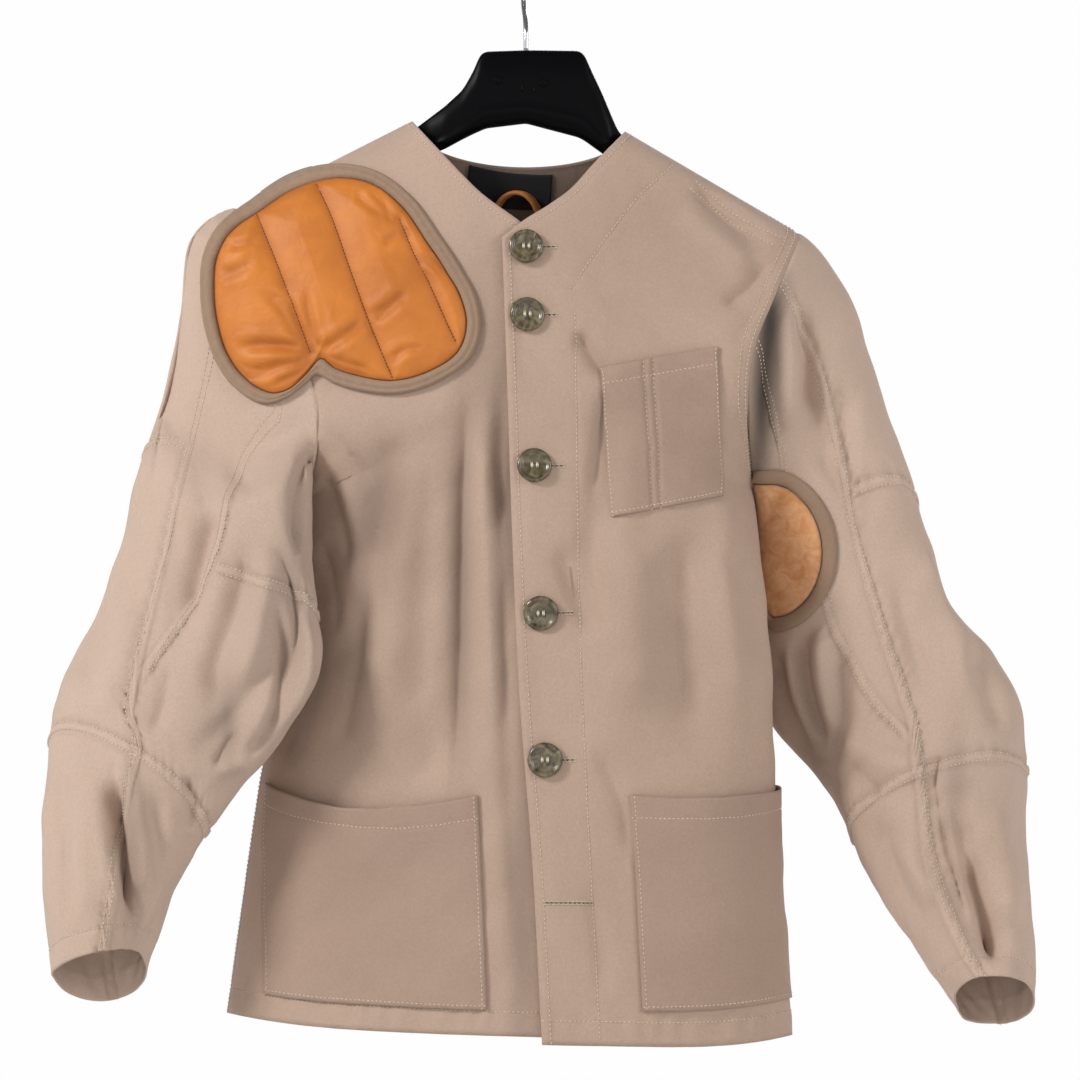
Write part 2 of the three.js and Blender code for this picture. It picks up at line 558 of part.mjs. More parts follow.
// A closed body from a grid of outer points and a grid of inner points
function shell(outer, inner, closed = false) {
  const rows = outer.length;
  const cols = outer[0].length;
  const points = [...outer.flat(), ...inner.flat()].map(place);
  const id = (k, i, j) => k * rows * cols + j * cols + (closed ? i % cols : i);
  const faces = [];
  const quad = (a, b, c, d) => faces.push(a, b, c, a, c, d);
  const across = closed ? cols : cols - 1;
  for (let j = 0; j < rows - 1; j += 1) {
    for (let i = 0; i < across; i += 1) {
      quad(id(0, i, j), id(0, i + 1, j), id(0, i + 1, j + 1), id(0, i, j + 1));
      quad(id(1, i, j), id(1, i, j + 1), id(1, i + 1, j + 1), id(1, i + 1, j));
    }
  }
  for (let i = 0; i < across; i += 1) {
    quad(id(0, i + 1, 0), id(0, i, 0), id(1, i, 0), id(1, i + 1, 0));
    quad(id(0, i, rows - 1), id(0, i + 1, rows - 1), id(1, i + 1, rows - 1), id(1, i, rows - 1));
  }
  for (let j = 0; !closed && j < rows - 1; j += 1) {
    quad(id(0, 0, j), id(0, 0, j + 1), id(1, 0, j + 1), id(1, 0, j));
    quad(id(0, cols - 1, j + 1), id(0, cols - 1, j), id(1, cols - 1, j), id(1, cols - 1, j + 1));
  }
  return facingOut(points, faces);
}
// Turns every face round where the body would be inside out
function facingOut(points, faces) {
  let volume = 0;
  for (let f = 0; f < faces.length; f += 3) {
    const [a, b, c] = [points[faces[f]], points[faces[f + 1]], points[faces[f + 2]]];
    volume += a.dot(new THREE.Vector3().crossVectors(b, c));
  }
  for (let f = 0; volume < 0 && f < faces.length; f += 3) {
    [faces[f], faces[f + 1]] = [faces[f + 1], faces[f]];
  }
  const geometry = new THREE.BufferGeometry();
  const places = points.flatMap((p) => [p.x, p.y, p.z]);
  geometry.setAttribute("position", new THREE.Float32BufferAttribute(places, 3));
  geometry.setIndex(faces);
  geometry.computeVertexNormals();
  return geometry;
}

const range = (from, to, steps) => Array.from({ length: steps + 1 }, (_, k) => mix(from, to, k / steps));

// A cloth wall over a grid of a surface, its edges held back from the seams
function wall(surface, as, bs, outward, options = {}) {
  const { lift = 0, thick = CLOTH, back: held = [SEAM, SEAM, SEAM, SEAM] } = options;
  const grid = bs.map((b) => as.map((a) => sample(surface, a, b, outward)));
  const [rows, cols] = [bs.length, as.length];
  const moved = grid.map((row) => row.map((cell) => cell.p.clone()));
  const towards = (j, i, dj, di, far) => {
    const step = grid[j + dj][i + di].p.clone().sub(grid[j][i].p).normalize();
    moved[j][i].addScaledVector(step, far);
  };
  for (let j = 0; j < rows; j += 1) {
    towards(j, 0, 0, 1, held[0]);
    towards(j, cols - 1, 0, -1, held[1]);
  }
  for (let i = 0; i < cols; i += 1) {
    towards(0, i, 1, 0, held[2]);
    towards(rows - 1, i, -1, 0, held[3]);
  }
  const off = (amount) => moved.map((row, j) => {
    return row.map((p, i) => p.clone().addScaledVector(grid[j][i].n, amount));
  });
  return shell(off(lift + thick / 2), off(lift - thick / 2));
}

// Finishes
const finish = (color, roughness, metalness = 0) => () =>
  new THREE.MeshStandardMaterial({ color, roughness, metalness, side: THREE.FrontSide });
const COTTON = finish(0xb09a86, 0.92);
const POCKETING = finish(0xa8907f, 0.92);
const BOUND = finish(0x9b7c66, 0.9);
const LEATHER = finish(0xd2843f, 0.5);
const SUEDE = finish(0xc6946c, 0.95);
const LABEL = finish(0x1b1a1c, 0.8);
const HORN = finish(0x6f6648, 0.3);
const MOULDED = finish(0x0b0b0d, 0.35);
const STEEL = finish(0x9a9c9f, 0.25, 1);

const jacket = new THREE.Group();
jacket.name = "shooting_jacket";
function add(name, geometry, material) {
  const mesh = new THREE.Mesh(geometry, material());
  mesh.name = name;
  jacket.add(mesh);
}

// Body panels; their edges keep clear of the sleeves' and of each other
const PANEL_EDGE = { inner: 0, armhole: 0.7, shoulder: 0.3, hem: 0, back: 0.35 };
const FRONT_COLUMNS = 14;
const BACK_COLUMNS = 20;
const bodyRows = range(0, HEM, HEM);
for (const side of ["left", "right"]) {
  const outward = side === "left" ? -1 : 1;
  const held = [PANEL_EDGE.inner, PANEL_EDGE.armhole, PANEL_EDGE.shoulder, PANEL_EDGE.hem];
  const columns = range(0, 1, FRONT_COLUMNS);
  add(`front_${side}`, wall(front(side), columns, bodyRows, outward, { back: held }), COTTON);
}
const backHeld = [PANEL_EDGE.back, PANEL_EDGE.back, PANEL_EDGE.shoulder, PANEL_EDGE.hem];
add("back", wall(back, range(0, 1, BACK_COLUMNS), bodyRows, 1, { back: backHeld }), COTTON);

// Sleeve pieces: each is a block of the sleeve's grid between seams
const PIECES = {
  left: [
    { name: "outer_upper", i: [0, SEAM_A], j: [0, 6] },
    { name: "outer_lower", i: [0, SEAM_A], j: [6, ELBOW_ROWS] },
    { name: "middle", i: [SEAM_A, SEAM_B], j: [0, ELBOW_ROWS] },
    { name: "inner", i: [SEAM_B, ROUND], j: [0, ELBOW_ROWS] },
    { name: "forearm_outer", i: [0, SEAM_A], j: [ELBOW_ROWS, ELBOW_ROWS + CUFF_ROWS] },
    { name: "forearm_inner", i: [SEAM_A, ROUND], j: [ELBOW_ROWS, ELBOW_ROWS + CUFF_ROWS] },
  ],
  right: [
    { name: "outer_upper", i: [0, SEAM_A], j: [0, 6] },
    { name: "outer_lower", i: [0, SEAM_A], j: [6, ELBOW_ROWS] },
    { name: "middle", i: [SEAM_A, SEAM_B], j: [0, ELBOW_ROWS] },
    { name: "inner_upper", i: [SEAM_B, ROUND], j: [0, 7] },
    { name: "inner_lower", i: [SEAM_B, ROUND], j: [7, ELBOW_ROWS] },
    { name: "forearm_outer", i: [0, SEAM_A], j: [ELBOW_ROWS, ELBOW_ROWS + CUFF_ROWS] },
    { name: "forearm_inner", i: [SEAM_A, ROUND], j: [ELBOW_ROWS, ELBOW_ROWS + CUFF_ROWS] },
  ],
};
const HEAD_GAP = 0.8; // the sleeve head's top edge stays this far from the armhole,
const UNDERARM_GAP = 7.2; // and further where it turns in under the arm
const EDGE_GAP = { start: 0.6, end: 0.5 }; // long seams that turn sharply take a wider gap
for (const side of ["left", "right"]) {
  for (const { name, i, j } of PIECES[side]) {
    const headGap = name.startsWith("inner") ? UNDERARM_GAP : HEAD_GAP;
    const held = [
      i[0] === SEAM_A ? SEAM : EDGE_GAP.start,
      i[1] === SEAM_A ? SEAM : EDGE_GAP.end,
      j[0] > 0 ? SEAM : headGap,
      SEAM,
    ];
    const [columns, rows] = [range(i[0], i[1], i[1] - i[0]), range(j[0], j[1], j[1] - j[0])];
    const outward = side === "left" ? 1 : -1;
    add(`sleeve_${side}_${name}`, wall(sleeve(side), columns, rows, outward, { back: held }), COTTON);
  }
}

// The place (a, b) on a surface that is seen at (x, z), by Newton's method from a first guess
function find(surface, x, z, guess) {
  let [a, b] = guess;
  for (let k = 0; k < 12; k += 1) {
    const here = surface(a, b).p;
    const pa = surface(a + 0.01, b).p.sub(here).multiplyScalar(100);
    const pb = surface(a, b + 0.01).p.sub(here).multiplyScalar(100);
    const det = pa.x * pb.z - pb.x * pa.z;
    a += ((x - here.x) * pb.z - pb.x * (z - here.z)) / det;
    b += (pa.x * (z - here.z) - (x - here.x) * pa.z) / det;
  }
  return [a, b];
}

// A piece laid on a panel between four corner places, its wall moved out from the panel's points
function patch(surface, corners, cells, outward, lift, thick, dip = 0) {
  const [tl, tr, br, bl] = corners;
  const on = (s, w) => {
    const a = mix(mix(tl[0], tr[0], s), mix(bl[0], br[0], s), w);
    const b = mix(mix(tl[1], tr[1], s), mix(bl[1], br[1], s), w) + dip * 4 * s * (1 - s);
    return surface(a, b);
  };
  return wall(on, range(0, 1, cells[0]), range(0, 1, cells[1]), outward, { lift, thick, back: [0, 0, 0, 0] });
}

// Patch pockets, open along the top: three corners as seen, the fourth from the width of the cloth
const POCKETS = [
  {
    name: "pocket_chest", side: "left",
    tl: [53.7, -302.6], bl: [62.4, -410.6], tr: [139.2, -287.3], br: [142, -396],
  },
  { name: "pocket_left", side: "left", tl: [75.4, -612], bl: [84.1, -769], width: 170 },
  { name: "pocket_right", side: "right", tl: [-34.8, -612], bl: [-28.3, -768], width: 168 },
];
const POCKET_DIP = 0.18; // share of a row by which the lower pockets' edges sag
const POCKET_CELLS = [14, 8];
const onPanel = CLOTH / 2 + SEAT;
const FACET_CLEAR = 0.55; // a pocket stands clear of the flat facets under it
const pocketLift = onPanel + FACET_CLEAR + POCKET_WALL / 2;
function rowLength(surface, v) {
  return range(0, 1, EVEN_STEPS).reduce((sum, t, k, ts) => {
    return k === 0 ? 0 : sum + surface(t, v).p.distanceTo(surface(ts[k - 1], v).p);
  }, 0);
}
for (const { name, side, tl, bl, tr, br, width } of POCKETS) {
  const surface = front(side);
  const start = [find(surface, ...tl, [0.4, 17]), find(surface, ...bl, [0.4, 20])];
  const end = width
    ? start.map(([t, v]) => [t + width / rowLength(surface, v), v])
    : [find(surface, ...tr, [0.8, 12]), find(surface, ...br, [0.8, 14])];
  const outward = side === "left" ? -1 : 1;
  const corners = [start[0], end[0], end[1], start[1]];
  const dip = width ? POCKET_DIP : 0;
  add(name, patch(surface, corners, POCKET_CELLS, outward, pocketLift, POCKET_WALL, dip), POCKETING);
}

// Recoil pad: quilted leather and its cloth binding, laid over front and sleeve head
function padPoint(x, z) {
  const step = 0.5;
  const depth = padDepth(x, z);
  const dx = (padDepth(x + step, z) - padDepth(x - step, z)) / (2 * step);
  const dz = (padDepth(x, z + step) - padDepth(x, z - step)) / (2 * step);
  return { p: new THREE.Vector3(x, depth, z), n: new THREE.Vector3(dx, -1, dz).normalize() };
}
// The point of the cloth from which a lift along the normal comes out at the seen place
function padBelow(x, z, lift) {
  let cell = padPoint(x, z);
  for (let k = 0; k < 6; k += 1) cell = padPoint(x - cell.n.x * lift, z - cell.n.z * lift);
  return cell;
}
const bearings = PAD_OUTLINE.slice(0, -1).flatMap(({ at }, k) => [at, (at + PAD_OUTLINE[k + 1].at) / 2]);
const padPlace = (bearing, reach) => [
  PAD_MIDDLE.x + reach * Math.sin(rad(bearing)),
  PAD_MIDDLE.z + reach * Math.cos(rad(bearing)),
];
const PAD_AIR = 0.2; // more air under the pad than under what is smaller
const padSeat = onPanel + PAD_AIR;
const PAD_RINGS = [0.06, 0.2, 0.34, 0.48, 0.62, 0.75, 0.86, 0.94, 1];
const MEAN_PUFF = 3;
const QUILT_SOFT = 15; // how far from a seam the quilting reaches most of its height
const QUILT_FULL = 1.6; // how sharply it dips at the seams
function puff(x, z, share, reach) {
  const seam = Math.min(...QUILTING.map((line) => pathDistance(line, x, z).far), (1 - share) * reach);
  return PAD_PUFF * (1 - Math.exp(-((seam / QUILT_SOFT) ** QUILT_FULL)));
}
const leather = PAD_RINGS.map((share) => bearings.map((bearing) => {
  const reach = column(PAD_OUTLINE, "reach", bearing) - 2 * SEAM;
  const [x, z] = padPlace(bearing, share * reach);
  const { p, n } = padBelow(x, z, padSeat + MEAN_PUFF);
  return { p, n, high: padSeat + PAD_WALL + puff(x, z, share, reach) };
}));
function raise(cells, lift) {
  return cells.map((row) => row.map(({ p, n, high }) => p.clone().addScaledVector(n, lift ?? high)));
}
add("recoil_pad", disc(raise(leather), raise(leather, padSeat)), LEATHER);
// Section of the binding: share of its width, and of its full height
const BAND = [
  { across: 0, high: 0.7 },
  { across: 0.3, high: 1 },
  { across: 0.7, high: 1 },
  { across: 1, high: 0.5 },
];
const bandCells = BAND.map(({ across, high }) => bearings.map((bearing) => {
  const reach = column(PAD_OUTLINE, "reach", bearing) + SEAM + across * column(PAD_OUTLINE, "band", bearing);
  const [x, z] = padPlace(bearing, reach);
  const { p, n } = padBelow(x, z, padSeat + BINDING_T / 2);
  return { p, n, high: padSeat + BINDING_T * high };
}));
add("recoil_pad_binding", shell(raise(bandCells), raise(bandCells, padSeat), true), BOUND);

// Elbow patch: suede oval and its binding on the inside of the left sleeve
const PATCH = { x: 182, z: -430, wide: 37, behind: 8, tall: 48, band: 11, top: 1.8 };
const PATCH_WALL = 1.6;
const PATCH_EDGE = 1.4; // the binding's height as a share of the suede's
const PATCH_TURNS = 24;
const PATCH_RINGS = [0.1, 0.4, 0.7, 1]; // rings of the suede, as shares of its reach
const PATCH_AIR = 1.2; // the sleeve bends sharply under the patch
const patchSeat = onPanel + PATCH_AIR;

// Grid places reached by walking straight over a surface from a place: one for each distance
function walk(surface, from, bearing, distances) {
  const stride = 3;
  let [a, b] = from;
  let ahead = null;
  let gone = 0;
  return distances.map((distance) => {
    while (gone < distance) {
      const step = Math.min(stride, distance - gone);
      const here = surface(a, b).p;
      const da = surface(a + 0.02, b).p.sub(here).multiplyScalar(50);
      const db = surface(a, b + 0.02).p.sub(here).multiplyScalar(50);
      const n = new THREE.Vector3().crossVectors(da, db).normalize();
      if (!ahead) {
        const level = new THREE.Vector3(n.y, -n.x, 0).normalize();
        const down = new THREE.Vector3().crossVectors(level, n);
        ahead = level.multiplyScalar(Math.cos(bearing)).addScaledVector(down, Math.sin(bearing));
      }
      ahead.addScaledVector(n, -ahead.dot(n)).normalize();
      const [aa, ab, bb] = [da.dot(da), da.dot(db), db.dot(db)];
      const [pa, pb] = [da.dot(ahead), db.dot(ahead)];
      a += (step * (pa * bb - pb * ab)) / (aa * bb - ab * ab);
      b = Math.max(b + (step * (pb * aa - pa * ab)) / (aa * bb - ab * ab), PATCH.top);
      gone += step;
    }
    return [a, b];
  });
}
const patchRays = range(0, PATCH_TURNS - 1, PATCH_TURNS - 1).map((k) => {
  const turn = (2 * Math.PI * k) / PATCH_TURNS;
  const across = Math.cos(turn) * (Math.cos(turn) > 0 ? PATCH.behind : PATCH.wide);
  const reach = Math.hypot(across, PATCH.tall * Math.sin(turn));
  const bearing = Math.atan2(PATCH.tall * Math.sin(turn), across);
  const stops = PATCH_RINGS.map((share) => share * reach);
  stops.push(reach + 6 * SEAM, reach + PATCH.band / 2, reach + PATCH.band);
  const middle = find(sleeve("left"), PATCH.x, PATCH.z, [15, 3.75]);
  return walk(sleeve("left"), middle, bearing, stops).map(([i, j]) => sample(sleeve("left"), i, j, 1));
});
function patchRings(from, to, lift) {
  const raised = ({ p, n }) => p.clone().addScaledVector(n, lift);
  return range(from, to, to - from).map((k) => patchRays.map((ray) => raised(ray[k])));
}
add("elbow_patch", disc(patchRings(0, 3, patchSeat + PATCH_WALL), patchRings(0, 3, patchSeat)), SUEDE);
const bandTop = patchRings(4, 6, patchSeat + PATCH_EDGE * PATCH_WALL);
add("elbow_patch_binding", shell(bandTop, patchRings(4, 6, patchSeat), true), BOUND);

// A round body from rings of outer and inner points, closed over its middle and round its rim
function disc(outer, inner) {
  const ringSize = outer[0].length;
  const points = [...outer.flat(), ...inner.flat()];
  const total = (ring) => ring.reduce((sum, p) => sum.add(p), new THREE.Vector3());
  const middle = (ring) => total(ring).multiplyScalar(1 / ringSize);
  points.push(middle(outer[0]), middle(inner[0]));
  const half = outer.length * ringSize;
  const id = (k, j, i) => k * half + j * ringSize + (i % ringSize);
  const faces = [];
  const quad = (a, b, c, d) => faces.push(a, b, c, a, c, d);
  for (let i = 0; i < ringSize; i += 1) {
    faces.push(2 * half, id(0, 0, i + 1), id(0, 0, i));
    faces.push(2 * half + 1, id(1, 0, i), id(1, 0, i + 1));
    for (let j = 0; j < outer.length - 1; j += 1) {
      quad(id(0, j, i), id(0, j, i + 1), id(0, j + 1, i + 1), id(0, j + 1, i));
      quad(id(1, j, i), id(1, j + 1, i), id(1, j + 1, i + 1), id(1, j, i + 1));
    }
    const rim = outer.length - 1;
    quad(id(0, rim, i), id(0, rim, i + 1), id(1, rim, i + 1), id(1, rim, i));
  }
  return facingOut(points.map(place), faces);
}

// Bare woven label and leather hanging loop inside the back neck
const LABEL_CORNERS = [[-42, -154.5], [18.9, -162.2], [16.5, -187], [-44.5, -180]];
const labelPlaces = LABEL_CORNERS.map(([x, z]) => find(back, x, z, [0.5, 1]));
const LABEL_WALL = 0.8;
const LABEL_CELLS = [6, 3];
add("neck_label", patch(back, labelPlaces, LABEL_CELLS, 1, -(onPanel + LABEL_WALL), LABEL_WALL), LABEL);

// The loop is an arch that leans forward; its depth is read no lower than a set height
const LOOP = { left: -21, right: 12, foot: -197, top: -175.5, wide: 10, wall: 1.8, steps: 12, clear: 1.6 };
const LOOP_LEAN = new THREE.Vector3(-0.45, -1, 0).normalize();
const LOOP_LOWEST = -200;
function loopPath(s) {
  const x = mix(LOOP.left, LOOP.right, 0.5 - 0.5 * Math.cos(Math.PI * s));
  return { x, z: LOOP.foot + (LOOP.top - LOOP.foot) * Math.sin(Math.PI * s) };
}
const loopRows = range(0, 1, LOOP.steps).map((s) => {
  const { x, z } = loopPath(s);
  const next = loopPath(s + 0.01);
  const out = new THREE.Vector3(-(next.z - z), 0, next.x - x).normalize();
  const [t, v] = find(back, x, Math.max(z, LOOP_LOWEST), [0.5, 2]);
  const y = back(t, v).p.y - CLOTH / 2 - LABEL_WALL - 2 * SEAT - LOOP.clear;
  const foot = new THREE.Vector3(x, y, z);
  return [0, LOOP.wide].map((wide) => ({ p: foot.clone().addScaledVector(LOOP_LEAN, wide), out }));
});
function loopWall(amount) {
  return loopRows.map((row) => row.map(({ p, out }) => p.clone().addScaledVector(out, amount)));
}
add("hanging_loop", shell(loopWall(LOOP.wall / 2), loopWall(-LOOP.wall / 2)), LEATHER);

// Buttons: dished, with a raised rim, sewn on the front
const BUTTONS = [[0, -214.8], [0.7, -264.1], [5.8, -373.6], [10.9, -480.2], [13.8, -586.8]];
const BUTTON_PROFILE = [
  { r: 0, h: 0 },
  { r: 0.8, h: 0 },
  { r: 1, h: 1.4 },
  { r: 0.97, h: 3.2 },
  { r: 0.84, h: 4 },
  { r: 0.66, h: 2.6 },
  { r: 0, h: 2.2 },
];
const BUTTON_SIDES = 16;
BUTTONS.forEach(([x, z], k) => {
  const outline = BUTTON_PROFILE.map(({ r, h }) => new THREE.Vector2(r * BUTTON_R, h));
  const button = new THREE.LatheGeometry(outline, BUTTON_SIDES);
  const [t, v] = find(front("left"), x, z, [0.1, 10 + 2 * k]);
  const { p, n } = sample(front("left"), t, v, -1);
  const seat = place(p.clone().addScaledVector(n, CLOTH / 2 + SEAT));
  const turn = new THREE.Quaternion().setFromUnitVectors(new THREE.Vector3(0, 1, 0), n);
  button.applyQuaternion(turn).translate(seat.x, seat.y, seat.z);
  add(`button_${k + 1}`, button, HORN);
});

// Hanger: one moulded body, drawn by stations along it
const HANGER = [
  { at: -203, top: -189.3, low: -197, half: 5 },
  { at: -196, top: -185.5, low: -200, half: 7 },
  { at: -150, top: -162.5, low: -182, half: 8 },
  { at: -100, top: -137, low: -160, half: 8 },
  { at: -80, top: -128.8, low: -151.5, half: 4.5 },
  { at: -72, top: -122.8, low: -148.5, half: 5 },
  { at: -59, top: -113, low: -144, half: 9.5 },
  { at: -46, top: -101, low: -137, half: 11 },
  { at: -38, top: -87, low: -133, half: 11 },
  { at: -33.5, top: -75.5, low: -131, half: 11 },
  { at: -29, top: -73, low: -129, half: 11 },
  { at: 0, top: -72, low: -125.5, half: 11 },
  { at: 38, top: -72.5, low: -135.5, half: 11 },
  { at: 42.5, top: -75, low: -138, half: 11 },
  { at: 48, top: -88, low: -142, half: 11 },
  { at: 55, top: -102.5, low: -147, half: 11 },
  { at: 61, top: -117, low: -151, half: 9.5 },
  { at: 67, top: -131.4, low: -155, half: 3.6 },
  { at: 76, top: -139, low: -160, half: 4 },
  { at: 100, top: -150.5, low: -174, half: 8 },
  { at: 150, top: -180.2, low: -199, half: 8 },
  { at: 184, top: -200.2, low: -213, half: 7 },
  { at: 190, top: -204.8, low: -213, half: 5 },
];
const HANGER_SIDES = 14;
const HANGER_FULL = 2.6;
const hangerTurns = range(0, HANGER_SIDES - 1, HANGER_SIDES - 1).map((k) => (2 * Math.PI * k) / HANGER_SIDES);
const hangerRings = HANGER.map(({ at, top, low, half }) => hangerTurns.map((turn) => {
  const y = half * power(Math.sin(turn), HANGER_FULL);
  const z = mix(low, top, 0.5 + 0.5 * power(Math.cos(turn), 2));
  return new THREE.Vector3(at, y, z);
}));
add("hanger", tube(hangerRings), MOULDED);

// A closed tube through rings of points, flat at both ends
function tube(rings) {
  const size = rings[0].length;
  const points = rings.flat().map(place);
  const faces = [];
  for (let j = 0; j < rings.length - 1; j += 1) {
    for (let i = 0; i < size; i += 1) {
      const [a, b] = [j * size + i, j * size + ((i + 1) % size)];
      faces.push(a, b, b + size, a, b + size, a + size);
    }
  }
  const last = (rings.length - 1) * size;
  for (let i = 1; i < size - 1; i += 1) faces.push(0, i + 1, i, last, last + i, last + i + 1);
  return facingOut(points, faces);
}

// Hook: bent wire, its bow nearly square to the hanger
const HOOK_TURN = 95; // degrees from the hanger to the plane of the bow
const BOW_START = -60;
const BOW_END = 196;
const BLOCK_TOP = -72;
const bow = range(BOW_START, BOW_END, 20).map((turn) => [
  HOOK_R * Math.cos(rad(turn)),
  WIRE_R - HOOK_R + HOOK_R * Math.sin(rad(turn)),
]);
const stem = [[0, BLOCK_TOP + SEAT], [0, -64], [1, -57], [5, -49.5]]; // way out of the middle, and height
const wire = [...stem, ...bow].map(([out, up]) => new THREE.Vector3(
  out * Math.cos(rad(HOOK_TURN)), out * Math.sin(rad(HOOK_TURN)), up));
const round = new THREE.Shape().absarc(0, 0, WIRE_R, 0, 2 * Math.PI);
const HOOK_STEPS = 36;
const hook = new THREE.ExtrudeGeometry(round, {
  steps: HOOK_STEPS, curveSegments: 4, bevelEnabled: false, extrudePath: new THREE.CatmullRomCurve3(wire),
});
add("hook", hook, STEEL);

export default jacket;
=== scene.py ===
"""Finished look of a cloth shooting jacket on its hanger, laid over its packed solids.

Shapes are worked out in millimetres, as whole numpy arrays, and turned to metres as each mesh is made.
Left and right are the wearer's: left is +X, and the front faces -Y. The outline tables are as seen
from straight in front, and place() moves their points to where they really lie.
"""
import functools
import json
import math

import bpy
import numpy as np
from bpy.props import FloatProperty, FloatVectorProperty, PointerProperty
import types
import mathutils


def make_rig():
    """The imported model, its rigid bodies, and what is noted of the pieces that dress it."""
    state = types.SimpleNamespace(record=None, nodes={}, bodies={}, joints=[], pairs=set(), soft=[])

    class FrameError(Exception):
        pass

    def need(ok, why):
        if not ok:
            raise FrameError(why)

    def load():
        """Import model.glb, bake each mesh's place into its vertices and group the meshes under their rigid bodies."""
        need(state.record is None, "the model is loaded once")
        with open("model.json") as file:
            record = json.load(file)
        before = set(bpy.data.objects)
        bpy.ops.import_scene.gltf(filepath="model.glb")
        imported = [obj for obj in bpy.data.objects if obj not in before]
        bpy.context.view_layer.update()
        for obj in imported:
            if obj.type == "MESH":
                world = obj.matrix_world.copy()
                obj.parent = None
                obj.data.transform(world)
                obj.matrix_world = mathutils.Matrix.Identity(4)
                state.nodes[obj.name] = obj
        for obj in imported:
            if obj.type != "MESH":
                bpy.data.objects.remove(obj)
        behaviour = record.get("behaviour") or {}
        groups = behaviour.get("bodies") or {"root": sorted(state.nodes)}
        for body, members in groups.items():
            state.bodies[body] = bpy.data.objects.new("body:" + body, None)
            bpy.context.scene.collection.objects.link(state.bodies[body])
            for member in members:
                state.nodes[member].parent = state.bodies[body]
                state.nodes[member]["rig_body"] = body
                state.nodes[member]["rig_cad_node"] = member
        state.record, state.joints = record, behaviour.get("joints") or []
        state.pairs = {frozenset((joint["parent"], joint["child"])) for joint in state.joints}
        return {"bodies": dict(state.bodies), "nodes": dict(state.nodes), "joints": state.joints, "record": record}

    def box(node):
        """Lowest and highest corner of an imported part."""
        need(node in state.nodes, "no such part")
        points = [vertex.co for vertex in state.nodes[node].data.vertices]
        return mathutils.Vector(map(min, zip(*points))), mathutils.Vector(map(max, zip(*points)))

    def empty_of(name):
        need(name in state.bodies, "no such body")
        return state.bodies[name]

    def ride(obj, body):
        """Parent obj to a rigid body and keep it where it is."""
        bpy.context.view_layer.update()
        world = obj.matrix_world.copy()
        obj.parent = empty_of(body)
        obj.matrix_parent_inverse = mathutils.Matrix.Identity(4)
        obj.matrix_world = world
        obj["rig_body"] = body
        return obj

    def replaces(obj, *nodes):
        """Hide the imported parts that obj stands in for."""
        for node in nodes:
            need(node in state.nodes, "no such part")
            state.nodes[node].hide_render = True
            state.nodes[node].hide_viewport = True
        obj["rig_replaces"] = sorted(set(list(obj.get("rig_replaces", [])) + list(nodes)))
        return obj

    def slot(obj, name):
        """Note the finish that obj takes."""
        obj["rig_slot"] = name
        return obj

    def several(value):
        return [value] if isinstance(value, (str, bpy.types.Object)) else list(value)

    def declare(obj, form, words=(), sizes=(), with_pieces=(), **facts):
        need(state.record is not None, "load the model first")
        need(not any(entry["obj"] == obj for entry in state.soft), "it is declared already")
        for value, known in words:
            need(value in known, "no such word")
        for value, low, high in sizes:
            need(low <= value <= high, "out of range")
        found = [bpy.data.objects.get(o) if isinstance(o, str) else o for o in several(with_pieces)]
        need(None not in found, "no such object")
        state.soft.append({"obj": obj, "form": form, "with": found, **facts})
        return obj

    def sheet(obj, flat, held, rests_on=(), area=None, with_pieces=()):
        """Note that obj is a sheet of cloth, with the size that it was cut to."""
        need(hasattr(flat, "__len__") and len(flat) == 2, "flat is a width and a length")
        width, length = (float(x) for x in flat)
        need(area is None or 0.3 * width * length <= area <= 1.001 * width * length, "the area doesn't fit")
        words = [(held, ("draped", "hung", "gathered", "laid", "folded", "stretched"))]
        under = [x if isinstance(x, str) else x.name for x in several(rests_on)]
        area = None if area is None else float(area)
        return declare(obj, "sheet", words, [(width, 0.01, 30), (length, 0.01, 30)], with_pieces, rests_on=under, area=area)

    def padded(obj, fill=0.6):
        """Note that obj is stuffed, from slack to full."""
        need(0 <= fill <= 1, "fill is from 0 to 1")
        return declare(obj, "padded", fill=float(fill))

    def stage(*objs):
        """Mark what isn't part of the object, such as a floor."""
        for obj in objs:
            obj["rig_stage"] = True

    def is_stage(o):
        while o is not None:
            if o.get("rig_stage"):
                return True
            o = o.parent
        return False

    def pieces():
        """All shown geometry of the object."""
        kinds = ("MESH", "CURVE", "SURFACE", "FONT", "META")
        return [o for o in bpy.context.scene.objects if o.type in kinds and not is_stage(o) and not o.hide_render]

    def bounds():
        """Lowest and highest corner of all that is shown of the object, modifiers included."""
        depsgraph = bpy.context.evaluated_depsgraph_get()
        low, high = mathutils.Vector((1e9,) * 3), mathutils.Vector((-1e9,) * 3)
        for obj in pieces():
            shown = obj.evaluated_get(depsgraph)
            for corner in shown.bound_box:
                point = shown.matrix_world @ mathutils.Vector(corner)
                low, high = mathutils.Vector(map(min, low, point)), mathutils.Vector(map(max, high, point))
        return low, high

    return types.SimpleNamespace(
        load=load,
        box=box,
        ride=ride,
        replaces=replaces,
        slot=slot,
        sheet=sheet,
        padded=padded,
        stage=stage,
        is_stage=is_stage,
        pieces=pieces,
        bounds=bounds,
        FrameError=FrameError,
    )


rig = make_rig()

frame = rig.load()
CAD_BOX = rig.bounds()

bl_info = {
    "name": "Shooting jacket",
    "version": (1, 0, 0),
    "blender": (4, 5, 0),
    "location": "View3D > Sidebar > Jacket",
    "description": "Builds the cloth, leather and horn of a shooting jacket round its solids",
    "category": "Add Mesh",
}

